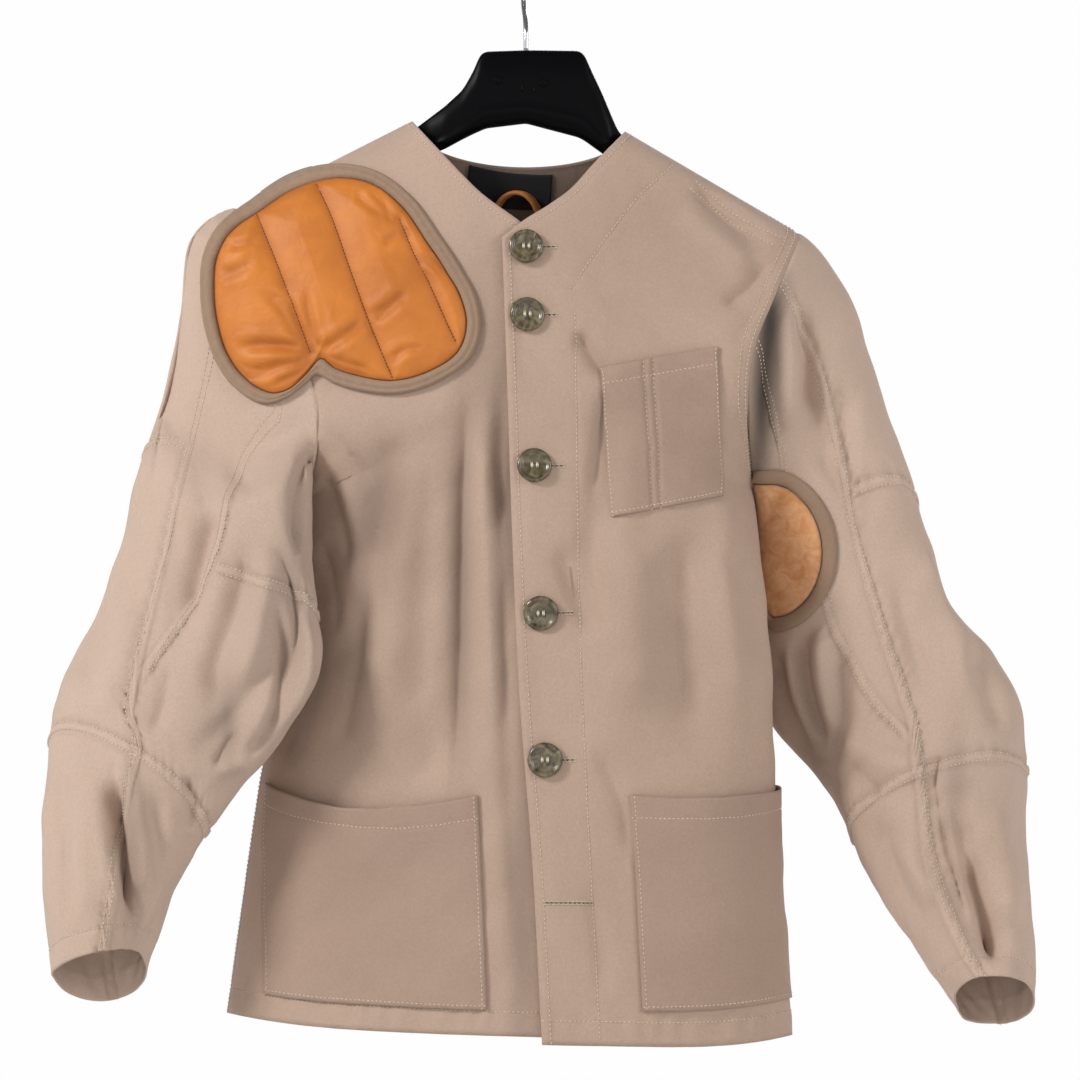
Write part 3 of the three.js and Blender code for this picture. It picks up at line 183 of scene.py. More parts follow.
# Driving sizes, in millimetres
METRE = 1000
EYE = {"x": 10, "y": -2600, "z": -427}  # where the outline tables are seen from
VIEW_WIDTH = 783  # what the picture takes in at the hanger
SOLID_WALL = 1.6  # wall of the packed cloth panels
SEAT = 0.3  # gap under a piece that lies on the cloth
NECK_CORNER, UNDERARM, HEM = 8, 12, 24  # rows of the body panels
ELBOW_ROWS, CUFF_ROWS = 14, 6  # rows of a sleeve above and below its elbow seam
ROUND, SEAM_A, SEAM_B = 24, 10, 13  # columns round a sleeve, and its two front seams
HEAD = 2  # rings over which a sleeve turns from its armhole
ELBOW_AT, CUFF_AT = {"left": 9, "right": 10}, {"left": 12, "right": 13}  # rings of the elbow seam and cuff
# Which way a panel's grid faces: 1 or -1
OUTWARD = {"front_left": -1, "front_right": 1, "back": 1, "sleeve_left": 1, "sleeve_right": -1}


def table(names, *rows):
    """Rows of numbers as named columns."""
    return dict(zip(names.split(), np.array(rows, float).T))


# Neck edge of each front, from the shoulder seam to the corner at the top button
NECK = {
    "left": table(
        "at x z y",
        (0, 72, -131, -0.5), (1, 70.1, -132.9, -12), (2, 66, -137, -20), (3, 58, -145, -26),
        (4, 47, -156.5, -31), (5, 33, -172, -37), (6, 16, -184.5, -43), (7, -1, -195, -49),
        (8, -17.4, -207.6, -54),
    ),
    "right": table(
        "at x z y",
        (0, -82.7, -123.5, -0.5), (1, -80.8, -125.5, -12), (2, -77, -129.6, -20),
        (3, -69.7, -137.4, -25.5), (4, -59.7, -148, -30), (5, -47, -161.5, -35),
        (6, -31.5, -176.5, -39.5), (7, -11, -191.5, -44), (8, 14, -209, -47.5),
    ),
}
# Front edges below the neck; the right one lies under the left
EDGE = {
    "left": table(
        "at x z y",
        (8, -17.4, -207.6, -54), (12, -13.5, -318, -69), (15, -9.9, -427, -79),
        (18, -4.8, -540, -86), (21, 4.6, -662, -92), (24, 11.6, -793.4, -98),
    ),
    "right": table(
        "at x z y",
        (8, 14, -209, -47.5), (12, 28, -318, -61.5), (15, 32, -427, -72),
        (18, 38, -540, -79.5), (21, 46, -662, -86), (24, 53, -789, -92.5),
    ),
}
# Armholes, from the shoulder tip (0) down the front to the underarm (0.5) and up the back
ARMHOLE = {
    "left": table(
        "at x y z",
        (0, 196, 0, -204), (0.04, 197, -12, -206.8), (0.08, 196.5, -20, -211.5),
        (0.13, 192, -29, -223), (0.2, 181, -39, -249), (0.3, 165, -47, -291),
        (0.4, 161, -36, -340), (0.5, 164, 14, -390), (0.6, 163, 49, -352), (0.7, 170, 58, -305),
        (0.8, 181, 50, -254), (0.87, 191, 36, -224), (0.92, 196, 24, -211.5),
        (0.96, 197, 13, -206.8), (1, 196, 0, -204),
    ),
    "right": table(
        "at x y z",
        (0, -208, 0, -187), (0.04, -209.5, -12, -189.5), (0.08, -209, -20, -194),
        (0.13, -204, -30, -207), (0.2, -190, -43, -236), (0.3, -165, -58, -288),
        (0.4, -150, -60, -338), (0.5, -160, -6, -396), (0.6, -160, 42, -358),
        (0.7, -168, 57, -308), (0.8, -184, 50, -248), (0.87, -199, 36, -210),
        (0.92, -207, 24, -195), (0.96, -209.5, 13, -189.5), (1, -208, 0, -187),
    ),
}
# Sides of the body below the underarm: the widest point, and how far round the side seam lies
SIDE = {
    "left": table(
        "at x z y seam",
        (12, 164, -390, 14, 90), (14, 170, -440, -18, 97), (16, 175, -492, -24, 104),
        (18, 177, -548, -25, 110), (20, 181, -612, -22, 114), (22, 185, -690, -20, 116),
        (24, 191.4, -786, -15, 118),
    ),
    "right": table(
        "at x z y seam",
        (12, -160, -396, -6, 90), (14, -169, -444, -3, 89), (16, -177, -494, 0, 88),
        (18, -182, -548, 0, 87), (20, -193, -608, 0, 86), (22, -204, -684, 0, 86),
        (24, -216, -770, 0, 86),
    ),
}
# Middle of the back, and the bow of each row between front edge and side
BACK = table(
    "at y z full",
    (0, 19, -157, 2.0), (3, 44, -215, 2.2), (7, 62, -290, 2.3), (12, 74, -390, 2.4),
    (16, 80, -492, 2.4), (20, 92, -612, 2.4), (24, 104, -778, 2.4),
)
BOW = table(
    "at full turn sag",
    (0, 2.0, 45, 0), (3, 2.2, 55, 1), (7, 2.5, 66, 0), (12, 2.6, 90, 0), (24, 2.6, 90, -7),
)
# Sleeve rings: outer and inner silhouette points, half depth, and the lift of the front and back
RINGS = {
    "left": table(
        "at ox oz oy nx nz ny half front back",
        (0, 198, -206, 2, 172, -384, 12, 46, 0, 0), (1, 215, -218, 6, 173, -408, 30, 46, 0, 0),
        (2, 236, -260, 8, 168, -436, 46, 44, 0, 0), (3, 256.6, -322, 10, 163, -470, 55, 42, 0, 0),
        (4, 274.8, -369, 12, 163, -502, 58, 41, 0, 0), (5, 291.5, -427, 12, 168, -534, 52, 41, 0, 0),
        (6, 307.4, -478, 10, 184, -568, 44, 42, 4, 0), (7, 336.4, -510.6, 6, 208, -597, 34, 44, 12, 0),
        (8, 356.7, -547, 2, 223, -616, 24, 45, 20, 0), (9, 363.2, -590, -4, 235, -641, 12, 46, 27, 0),
        (10, 363.2, -652, -14, 256, -684, -4, 46, 14, -4),
        (11, 367.2, -714, -26, 284, -728, -22, 45, 12, -10),
        (12, 368.3, -762, -36, 311.7, -764, -34, 46, 20, -15),
    ),
    "right": table(
        "at ox oz oy nx nz ny half front back",
        (0, -210, -188, 2, -153, -345, -34, 54, 0, 0), (1, -229, -193, 2, -154, -358, -52, 52, 0, 0),
        (2, -243.6, -217, 2, -157, -384, -70, 47, 0, 0),
        (3, -248.7, -268, 0, -158, -415, -82, 42, 0, 0),
        (4, -261, -326, -4, -156.6, -444, -92, 36, 0, 0),
        (5, -278.4, -384, -10, -153.7, -478, -96, 36, 0, 0),
        (6, -289.3, -427, -16, -150.8, -511, -98, 36, 0, 0),
        (7, -306.7, -471, -24, -164, -545, -98, 37, 5, 0),
        (8, -330.6, -518, -34, -191, -585, -96, 38, 12, 0),
        (9, -342, -550, -42, -212, -611, -94, 40, 20, 0),
        (10, -344, -570, -46, -230, -636, -92, 42, 25, 0),
        (11, -348.7, -638, -58, -254, -670, -88, 43, 12, -6),
        (12, -347.5, -694, -66, -268, -706, -86, 44, 10, -16),
        (13, -341.5, -745, -72, -279.5, -727, -84, 45, 10, -27),
    ),
}
# Where the two front seams run round each ring, as a share of the turn from the outer silhouette
SEAMS = {
    "left": table(
        "at a b",
        (2, 0.167, 0.31), (3, 0.165, 0.295), (4, 0.18, 0.26), (5, 0.178, 0.256), (6, 0.179, 0.249),
        (7, 0.212, 0.259), (8, 0.231, 0.258), (9, 0.242, 0.258), (10, 0.26, 0.31), (12, 0.27, 0.36),
    ),
    "right": table(
        "at a b",
        (2, 0.187, 0.36), (3, 0.184, 0.315), (4, 0.181, 0.282), (5, 0.18, 0.272), (6, 0.177, 0.25),
        (7, 0.188, 0.24), (8, 0.214, 0.236), (9, 0.231, 0.246), (10, 0.254, 0.27),
        (11, 0.28, 0.33), (13, 0.3, 0.38),
    ),
}
# Cross seams slant: a row, its reach, and how far each column's row moves along the sleeve
SLANTS = {
    "left": [(6, 4, [(0, 0.94), (5, 0.6), (10, -0.36), (13, 0), (16, 0), (24, 0.94)])],
    "right": [
        (6, 4, [(0, 0.6), (5, 0.46), (10, -0.09), (13, 0), (16, 0), (24, 0.6)]),
        (7, 3, [(0, 0), (10, 0), (13, 0.4), (18, -0.4), (24, 0)]),
    ],
}
# The recoil pad's leather round its middle: bearing from straight up, reach, and its binding's width
PAD_MIDDLE = (-136.3, -242.4)
PAD_OUTLINE = table(
    "at reach band",
    (0, 78.3, 10.5), (18, 77.5, 10.5), (38, 73.4, 10.5), (62, 71, 11), (82, 78.3, 12),
    (95, 88.7, 12), (107, 97.2, 11), (119, 99, 10.5), (133, 90.8, 11), (149, 80.3, 11.5),
    (166, 68, 12), (182, 60.2, 11.5), (194, 54.9, 12.6), (200, 69.5, 9.5), (205, 82.4, 8.5),
    (212, 91.9, 10), (225, 95.3, 10.5), (238, 94.5, 10.5), (252, 91.7, 10.5), (268, 90, 10.5),
    (282, 90.3, 10.5), (295, 87.6, 10.5), (315, 78.4, 10.5), (338, 77.6, 10.5), (360, 78.3, 10.5),
)
# The pad's three quilting seams as seen
QUILTING = [
    [(-195.7, -190), (-179.8, -229), (-156.6, -291)],
    [(-152.6, -168), (-140.6, -194), (-128.3, -229), (-113.8, -269), (-96.8, -310)],
    [(-92, -194), (-81.2, -220), (-70.3, -241), (-55.8, -273.6), (-50.4, -284.4)],
]
# Line over the shoulder and down the sleeve at which the cloth under the pad turns back
SHOULDER_LINE = [
    (-70, -117), (-83, -123), (-208, -184.5), (-227, -192), (-240, -205), (-247, -226),
    (-251, -258), (-254, -295), (-262, -340),
]

# The elbow patch as seen: its middle, its reach each way, and its tape
PATCH = {"x": 177, "z": -433, "wide": 41, "behind": 14, "tall": 50, "band": 11, "top": 1.2}

# Folds of the solids, which the cloth has too: half width, height and path as seen
FOLDS = {
    "front_right": [
        (15, -11, [(-44, -246), (-58, -330), (-66, -440), (-66, -560), (-72, -616)]),
        (20, 7, [(-92, -330), (-104, -420), (-108, -520), (-104, -610)]),
        (9, -8, [(-18, -268), (-16, -350), (-14, -432)]),
    ],
    "front_left": [
        (17, 4, [(60, -330), (68, -400), (62, -500), (70, -600)]),
        (18, -5, [(126, -400), (118, -500), (128, -600)]),
        (8, -4, [(36, -276), (62, -312)]),
    ],
    "back": [
        (22, -9, [(60, -300), (52, -450), (66, -620), (60, -760)]),
        (22, -9, [(-70, -320), (-62, -470), (-78, -640), (-84, -760)]),
        (18, 6, [(-8, -400), (-14, -560), (-6, -760)]),
    ],
    "sleeve_left": [
        (9, 7, [(262, -636), (300, -690), (330, -742)]),
        (10, -16, [(306, -600), (324, -680), (346, -740)]),
        (12, -6, [(200, -300), (220, -380), (246, -470)]),
        (11, 6, [(214, -560), (262, -588), (300, -592)]),
    ],
    "sleeve_right": [
        (9, -17, [(-297, -596), (-291, -650), (-280, -712)]),
        (9, 7, [(-312, -600), (-303, -660), (-292, -705)]),
        (10, 7, [(-152, -516), (-190, -566), (-218, -604)]),
        (10, -6, [(-172, -500), (-205, -545), (-244, -590)]),
        (11, -5, [(-226, -330), (-236, -420), (-262, -520)]),
    ],
}
# Finer creases: kind, half width, height and path; "behind" is a sleeve's hidden side
CREASES = {
    "front_right": [
        ("crease", 6, -9, [(-40, -270), (-44, -340), (-47, -430), (-49, -530), (-54, -640)]),
        ("fold", 11, 7, [(-60, -320), (-63, -400), (-66, -500), (-70, -610)]),
        ("fold", 15, 5, [(-66, -330), (-82, -415), (-92, -485), (-104, -560)]),
        ("fold", 14, -10, [(-92, -335), (-100, -395), (-114, -445)]),
        ("fold", 12, 6, [(-128, -350), (-126, -440), (-140, -515)]),
        ("crease", 5, -6, [(-146, -322), (-132, -355), (-112, -390)]),
        ("crease", 5, -5, [(-148, -375), (-132, -412), (-126, -450)]),
        ("crease", 4, -4, [(-150, -425), (-136, -465), (-136, -500)]),
        ("fold", 9, -8, [(-150, -470), (-164, -535), (-180, -595)]),
        ("crease", 5, -5, [(-36, -250), (-30, -290), (-24, -325)]),
        ("fold", 8, 6, [(-34, -340), (-30, -415), (-26, -500), (-22, -585)]),
        ("fold", 8, -4, [(-16, -440), (-14, -545), (-8, -650), (-2, -760)]),
        ("crease", 4, -3, [(-36, -252), (-46, -218), (-62, -198)]),
        ("crease", 6, -4, [(-112, -450), (-120, -520), (-134, -580)]),
    ],
    "front_left": [
        ("fold", 12, -6, [(62, -315), (58, -375), (48, -440), (44, -508)]),
        ("fold", 16, 6, [(84, -420), (78, -485), (84, -560)]),
        ("fold", 13, -6, [(114, -415), (110, -485), (120, -570)]),
        ("fold", 14, 6, [(144, -375), (146, -470), (158, -570)]),
        ("crease", 4, -4, [(34, -274), (46, -290), (58, -310)]),
        ("crease", 5, -4, [(58, -312), (54, -355), (48, -400)]),
        ("fold", 9, -7, [(122, -166), (148, -192), (176, -218)]),
        ("fold", 8, 4, [(112, -184), (140, -210), (168, -236)]),
        ("crease", 6, -5, [(178, -226), (160, -246), (142, -258)]),
        ("crease", 4, -3, [(170, -254), (158, -275), (154, -292)]),
        ("fold", 8, -5, [(26, -426), (34, -464), (54, -500)]),
        ("crease", 5, -4, [(48, -575), (68, -615), (74, -665)]),
        ("fold", 7, -3, [(44, -675), (54, -718), (58, -760)]),
        ("fold", 9, -5, [(144, -430), (160, -470), (166, -530)]),
        ("crease", 4, -3, [(86, -442), (98, -470), (104, -506)]),
    ],
    "back": [
        ("fold", 20, -6, [(-20, -190), (-60, -280), (-90, -380)]),
        ("fold", 18, 5, [(40, -200), (70, -290), (80, -400)]),
        ("crease", 7, -5, [(-150, -300), (-110, -350), (-70, -380)]),
        ("crease", 7, -5, [(150, -310), (112, -352), (66, -372)]),
        ("fold", 14, -6, [(110, -430), (104, -560), (120, -700)]),
        ("fold", 15, 5, [(-120, -420), (-126, -560), (-140, -720)]),
        ("fold", 10, -5, [(18, -470), (26, -600), (22, -720)]),
    ],
    "sleeve_right": [
        ("fold", 8, -9, [(-226, -322), (-214, -355), (-204, -395)]),
        ("fold", 8, 6, [(-210, -326), (-192, -355), (-182, -376)]),
        ("crease", 5, -6, [(-164, -326), (-176, -348), (-192, -372)]),
        ("fold", 7, -8, [(-228, -402), (-238, -442), (-246, -486)]),
        ("fold", 9, -9, [(-200, -420), (-210, -470), (-226, -520), (-220, -555)]),
        ("fold", 7, 7, [(-184, -442), (-192, -485), (-204, -536)]),
        ("fold", 6, -12, [(-186, -470), (-174, -518), (-186, -564), (-210, -588)]),
        ("fold", 4, 7, [(-162, -470), (-158, -506), (-164, -536), (-186, -572), (-208, -598)]),
        ("crease", 5, -8, [(-186, -424), (-170, -456), (-164, -492), (-168, -530)]),
        ("crease", 4, -6, [(-208, -565), (-218, -580), (-226, -594)]),
        ("fold", 9, -6, [(-312, -442), (-316, -485), (-326, -536)]),
        ("fold", 8, 5, [(-280, -470), (-294, -515), (-308, -558)]),
        ("crease", 5, -6, [(-260, -514), (-264, -544), (-272, -570)]),
        ("lip", 4, 12, [(-296, -580), (-294, -618), (-286, -660), (-280, -712)]),
        ("fold", 8, -7, [(-274, -608), (-268, -652), (-274, -704)]),
        ("fold", 9, 5, [(-320, -600), (-320, -652), (-318, -710)]),
        ("fold", 8, -4, [(-336, -594), (-334, -652), (-332, -710)]),
        ("crease", 5, -5, [(-248, -598), (-240, -616), (-244, -638)]),
        ("fold", 7, -8, [(-158, -355), (-164, -398), (-162, -442)]),
    ],
    "sleeve_left": [
        ("crease", 6, -9, [(190, -244), (174, -285), (170, -345)]),
        ("crease", 5, -8, [(208, -362), (224, -402), (232, -448)]),
        ("fold", 7, 6, [(218, -355), (232, -390), (240, -426)]),
        ("fold", 8, -9, [(178, -500), (188, -544), (212, -594)]),
        ("fold", 6, -9, [(198, -484), (204, -536), (218, -580)]),
        ("fold", 6, 6, [(188, -492), (196, -544), (216, -586)]),
        ("fold", 7, 7, [(212, -480), (216, -530), (226, -572)]),
        ("crease", 5, -6, [(178, -494), (200, -474), (226, -450)]),
        ("fold", 7, -8, [(228, -500), (230, -544), (226, -594)]),
        ("crease", 4, -5, [(186, -500), (206, -484), (226, -470)]),
        ("fold", 9, -6, [(266, -442), (280, -500), (292, -544)]),
        ("fold", 9, 6, [(286, -426), (306, -485), (326, -536)]),
        ("fold", 8, -6, [(318, -500), (336, -536), (348, -572)]),
        ("fold", 7, -9, [(200, -254), (204, -298), (208, -348)]),
        ("fold", 7, 6, [(190, -254), (192, -298), (194, -355)]),
        ("fold", 7, -7, [(178, -275), (176, -326), (182, -362)]),
        ("fold", 7, -5, [(226, -312), (232, -348), (236, -384)]),
        ("crease", 3, -6, [(300, -580), (296, -605), (300, -628)]),
        ("lip", 4, 12, [(300, -612), (310, -660), (326, -722)]),
        ("fold", 9, -10, [(316, -652), (332, -692), (344, -734)]),
        ("fold", 9, 6, [(336, -616), (348, -666), (352, -710)]),
        ("fold", 8, -5, [(252, -624), (266, -666), (288, -710)]),
        ("fold", 8, 5, [(272, -616), (284, -660), (300, -696)]),
        ("crease", 5, -5, [(236, -588), (248, -604), (260, -614)]),
    ],
    "sleeve_left_behind": [
        ("crease", 6, -6, [(200, -320), (226, -350), (250, -360)]),
        ("fold", 10, -7, [(240, -600), (290, -590), (330, -560)]),
        ("fold", 9, 5, [(250, -640), (300, -650), (345, -630)]),
        ("fold", 10, -7, [(230, -420), (262, -500), (300, -560)]),
        ("crease", 6, -6, [(290, -600), (320, -680), (330, -740)]),
    ],
    "sleeve_right_behind": [
        ("crease", 6, -6, [(-190, -320), (-220, -350), (-246, -352)]),
        ("fold", 10, -7, [(-220, -590), (-270, -590), (-320, -560)]),
        ("fold", 9, 5, [(-240, -630), (-290, -640), (-335, -610)]),
        ("fold", 10, -7, [(-180, -430), (-220, -500), (-270, -560)]),
        ("crease", 6, -6, [(-270, -620), (-300, -690), (-310, -730)]),
    ],
}
# Lines of topstitching as seen: panel and path
TOPSTITCH = [
    ("front_left", [(35.5, -262), (37.7, -441.8), (42.8, -586.8), (47.9, -688.3), (53.7, -790)]),
    ("front_left", [(31.9, -246), (58, -208), (82.7, -177.1), (106, -156)]),
    ("front_left", [(122, -167), (151.5, -191.6), (185, -209)]),
    ("front_left", [(118, -172), (147.5, -197), (180, -214)]),
]


# Curves and distances
def mix(a, b, t):
    """The value a share t of the way from a to b."""
    return a + (b - a) * t


def smooth(t):
    """A share from 0 to 1 that leaves and arrives softly: 3t^2 - 2t^3, held at its ends."""
    s = np.clip(t, 0, 1)
    return s * s * (3 - 2 * s)


def bell(far, wide):
    """1 in the middle, falling off softly on both sides: e to the power of -(far / wide)^2."""
    return np.exp(-((far / wide) ** 2))


def full_turn(number):
    """Angles of a number of equal steps round, without the last."""
    return np.linspace(0, 2 * np.pi, number, endpoint=False)


def power(t, n):
    """A cosine or sine made that of a superellipse of exponent n, its sign kept."""
    return np.sign(t) * np.abs(t) ** (2 / n)


def column(rows, name, at):
    """A smooth curve through one column: a cubic between rows, its slopes those of the rows beside."""
    xs, ys = rows["at"], rows[name]
    last = len(xs) - 1
    before = np.maximum(np.arange(last + 1) - 1, 0)
    after = np.minimum(np.arange(last + 1) + 1, last)
    slope = (ys[after] - ys[before]) / (xs[after] - xs[before])
    i = np.searchsorted(xs[1:last], at, side="left")
    step = xs[i + 1] - xs[i]
    t = np.clip((at - xs[i]) / step, 0, 1)
    bend = t * (1 - t) * ((1 - t) * slope[i] - t * slope[i + 1]) * step
    return mix(ys[i], ys[i + 1], t * t * (3 - 2 * t)) + bend


def columns(rows, names, at):
    """Several columns' curves side by side."""
    return points(*(column(rows, name, at) for name in names))


def points(*parts):
    """Coordinates brought to one shape and put side by side."""
    return np.stack(np.broadcast_arrays(*parts), axis=-1)


def unit(v):
    """Vectors divided by their length."""
    return v / np.maximum(np.linalg.norm(v, axis=-1, keepdims=True), 1e-9)


def soft_path(path, steps=8):
    """A path through the given places, rounded by a cubic through each four (Catmull-Rom)."""
    p = np.array(path, float)
    p = np.concatenate([2 * p[:1] - p[1:2], p, 2 * p[-1:] - p[-2:-1]])
    t = np.linspace(0, 1, steps, endpoint=False)[None, :, None]
    a, b, c, d = (p[k:len(p) - 3 + k, None, :] for k in range(4))
    curve = 0.5 * (2 * b + (c - a) * t + (2 * a - 5 * b + 4 * c - d) * t**2 + (3 * b - a - 3 * c + d) * t**3)
    return np.concatenate([curve.reshape(-1, p.shape[1]), p[-2:-1]])


def path_distance(path, x, z):
    """Distance to a path as seen, the share of the path at the nearest point, and which side it is on."""
    path = np.asarray(path, float)
    best = np.full(np.shape(x), np.inf)
    share, side = np.zeros_like(best), np.ones_like(best)
    for k, (a, d) in enumerate(zip(path[:-1], np.diff(path, axis=0))):
        t = np.clip(((x - a[0]) * d[0] + (z - a[1]) * d[1]) / (d @ d), 0, 1)
        far = np.hypot(x - a[0] - t * d[0], z - a[1] - t * d[1])
        near = far < best
        best = np.where(near, far, best)
        share = np.where(near, (k + t) / (len(path) - 1), share)
        side = np.where(near, np.sign(d[0] * (z - a[1]) - d[1] * (x - a[0])), side)
    return best, share, side


def place(p):
    """Moves points from where they are seen to where they lie: further from the eye is further out."""
    k = 1 - p[..., 1] / EYE["y"]
    return points(mix(EYE["x"], p[..., 0], k), p[..., 1], mix(EYE["z"], p[..., 2], k))


def resample(path, gap):
    """Places a gap apart along a path of points, and the numbers along the path where they fall."""
    length = np.concatenate([[0], np.cumsum(np.linalg.norm(np.diff(path, axis=0), axis=1))])
    at = np.arange(gap / 2, length[-1], gap)
    return np.interp(at, length, np.arange(len(path)))


# Cloth under the recoil pad
SHOULDER_SLOPE = 2.8
# How far round the pad's binding the cloth lies in its bed, and over what further distance it leaves it
HELD, LET_GO = {"front": 16, "sleeve": 34}, 55
FACING = 0.3  # how far a sleeve's place has turned to the eye when it is wholly on that side


def pad_outside(x, z):
    """How far a seen place lies outside the pad's binding, along its bearing from the pad's middle."""
    bearing = np.degrees(np.arctan2(x - PAD_MIDDLE[0], z - PAD_MIDDLE[1])) % 360
    edge = column(PAD_OUTLINE, "reach", bearing) + column(PAD_OUTLINE, "band", bearing)
    return np.hypot(x - PAD_MIDDLE[0], z - PAD_MIDDLE[1]) - edge


def pad_depth(x, z):
    """Depth of the cloth under the pad: it comes forward fast past the shoulder line, then slowly."""
    far, _, side = path_distance(SHOULDER_LINE, x, z)
    inside = -22 * (1 - np.exp(-far / 9)) - 45 * (1 - np.exp(-far / 110))
    return np.where(side < 0, np.minimum(far * SHOULDER_SLOPE, 5), inside)


def under_pad(p, near, facing=1.0):
    """Cloth drawn to the pad's bed, and the share of each place that is free of it."""
    held = smooth(1 - (pad_outside(p[..., 0], p[..., 2]) - near) / LET_GO) * smooth(facing / FACING)
    y = np.where(held > 0, mix(p[..., 1], pad_depth(p[..., 0], p[..., 2]), held), p[..., 1])
    return points(p[..., 0], y, p[..., 2]), 1 - held


# Body panels
def armhole(side, w):
    """Places on an armhole at shares w round it."""
    return columns(ARMHOLE[side], "xyz", np.mod(w, 1))


def inner_edge(side, v):
    """A front's neck edge above its corner, and its front edge below."""
    v = np.asarray(v, float)
    neck, edge = (columns(rows[side], "xyz", v) for rows in (NECK, EDGE))
    return np.where((v < NECK_CORNER)[..., None], neck, edge)


def side_point(side, v):
    """The widest point of a row: on the armhole, and on the side below the underarm."""
    upper = armhole(side, 0.5 * np.minimum(v, UNDERARM) / UNDERARM)
    return np.where((v <= UNDERARM)[..., None], upper, columns(SIDE[side], "xyz", v))


def seam_turn(side, v):
    """Degrees round the body at which a side seam lies."""
    return np.where(v <= UNDERARM, 90, column(SIDE[side], "seam", v))


def bowed(turn, full, end):
    """Shares of width and depth at a turn of a superellipse, measured up to its end turn."""
    turn, end = np.radians(turn), np.radians(end)
    s = power(np.sin(turn), full) / power(np.sin(end), full)
    low = power(np.cos(end), full)
    return s, (power(np.cos(turn), full) - low) / (1 - low)


def back_quarter(side, v, turn):
    """Half of the back by turns from its middle, bowed from there to the side."""
    upper = armhole(side, 1 - 0.5 * np.minimum(v, UNDERARM) / UNDERARM)
    wide = np.where((v <= UNDERARM)[..., None], upper, side_point(side, v))
    end = np.where(v <= UNDERARM, column(BOW, "turn", v), 90)
    s, c = bowed(turn, column(BACK, "full", v), end)
    x, y, z = wide[..., 0], wide[..., 1], wide[..., 2]
    return points(x * s, mix(y, column(BACK, "y", v), c), mix(column(BACK, "z", v), z, s * s))


def front_base(side, t, v):
    """A front from its inner edge (t = 0) over the widest point to the armhole or side seam (t = 1)."""
    inner, wide = inner_edge(side, v), side_point(side, v)
    upper = v <= UNDERARM
    end = np.where(upper, column(BOW, "turn", v), 90)
    turn = t * np.where(upper, end, seam_turn(side, v))
    s, c = bowed(np.minimum(turn, 90), column(BOW, "full", v), end)
    sag = 1.6 * s * (1 - s**4) * column(BOW, "sag", v)
    near = points(
        mix(inner[..., 0], wide[..., 0], s),
        mix(wide[..., 1], inner[..., 1], c),
        mix(inner[..., 2], wide[..., 2], s) + sag,
    )
    return np.where((turn > 90)[..., None], back_quarter(side, v, 180 - turn), near)


EVEN_STEPS = 28
BODY_FLAT, EDGE_FLAT, BACK_FLAT = 0.12, 0.06, 0.08  # shares of a panel's width by its edges that lie flat


def even(curve, share):
    """The place at a share of a curve's length, the curve being measured in steps."""
    steps = np.linspace(0, 1, EVEN_STEPS + 1).reshape(-1, 1, 1)
    gaps = np.linalg.norm(np.diff(curve(steps), axis=0), axis=-1)
    lengths = np.concatenate([np.zeros_like(gaps[:1]), np.cumsum(gaps, axis=0)])
    target = np.clip(share, 0, 1) * lengths[-1]
    i = np.clip((lengths[1:] < target).sum(axis=0) + 1, 1, EVEN_STEPS)
    lengths = np.broadcast_to(lengths, (EVEN_STEPS + 1, *target.shape))
    before = np.take_along_axis(lengths, (i - 1)[None], 0)[0]
    after = np.take_along_axis(lengths, i[None], 0)[0]
    return curve((i - 1 + (target - before) / (after - before)) / EVEN_STEPS)


def front_grid(side, t, v):
    """A front at shares t across and rows v, and how free each place is to crease."""
    p = even(lambda s: front_base(side, s, v), t)
    bare = 1.0
    if side == "right":
        p, bare = under_pad(p, HELD["front"])
    under = smooth((t - BODY_FLAT) / BODY_FLAT) if side == "right" else smooth(t / EDGE_FLAT)
    free = bare * smooth((1 - t) / BODY_FLAT) * smooth((v - 0.5) / 2) * under
    return p, free


def back_at(side, share, end, v):
    """One half of the back at a share of its end turn, on past the side if need be."""
    turn = share * end
    beyond = front_base(side, (180 - turn) / seam_turn(side, v), v)
    return np.where((turn <= 90)[..., None], back_quarter(side, v, turn), beyond)


def back_base(t, v):
    """The back by shares t across, before its top rows are drawn to the neck."""
    share = np.abs(t - 0.5) * 2
    halves = []
    for side in ("right", "left"):
        end = np.where(v <= UNDERARM, column(BOW, "turn", v), 180 - seam_turn(side, v))
        halves.append(even(lambda s: back_at(side, s, end, v), share))
    return np.where((t < 0.5)[..., None], *halves)


NECK_SHARE = 0.4  # share of the back's top row that is its neck edge
TOP_FADE = 5  # rows over which the back is drawn to its top row


def back_top(t):
    """The back's top row: its neck edge, round like an ellipse, then the shoulder seams."""
    share = np.abs(t - 0.5) * 2
    halves = []
    for side in ("right", "left"):
        neck, tip = inner_edge(side, 0.0), armhole(side, 0.0)
        s = (share - NECK_SHARE) / (1 - NECK_SHARE)
        seam = points(mix(neck[0], tip[0], s), 0.5, mix(neck[2], tip[2], s))
        r = np.clip(share / NECK_SHARE, 0, 1)
        drop = np.sqrt(1 - r * r)
        round_ = points(neck[0] * r, mix(0.5, BACK["y"][0], drop**0.6), mix(neck[2], BACK["z"][0], drop))
        halves.append(np.where((share >= NECK_SHARE)[..., None], seam, round_))
    return np.where((t < 0.5)[..., None], *halves)


def back_grid(t, v):
    """The back with its top rows drawn to its top edge, and how free each place is."""
    p = back_base(t, v)
    far = np.clip(v / TOP_FADE, 0, 1)
    pull = points((1 - far) ** 2, (1 - far) ** 4, 1 - far**2) * (far < 1)[..., None]
    p = p + (back_top(t) - back_base(t, np.zeros_like(v))) * pull
    return p, smooth(t / BACK_FLAT) * smooth((1 - t) / BACK_FLAT) * smooth((v - 1) / 3)


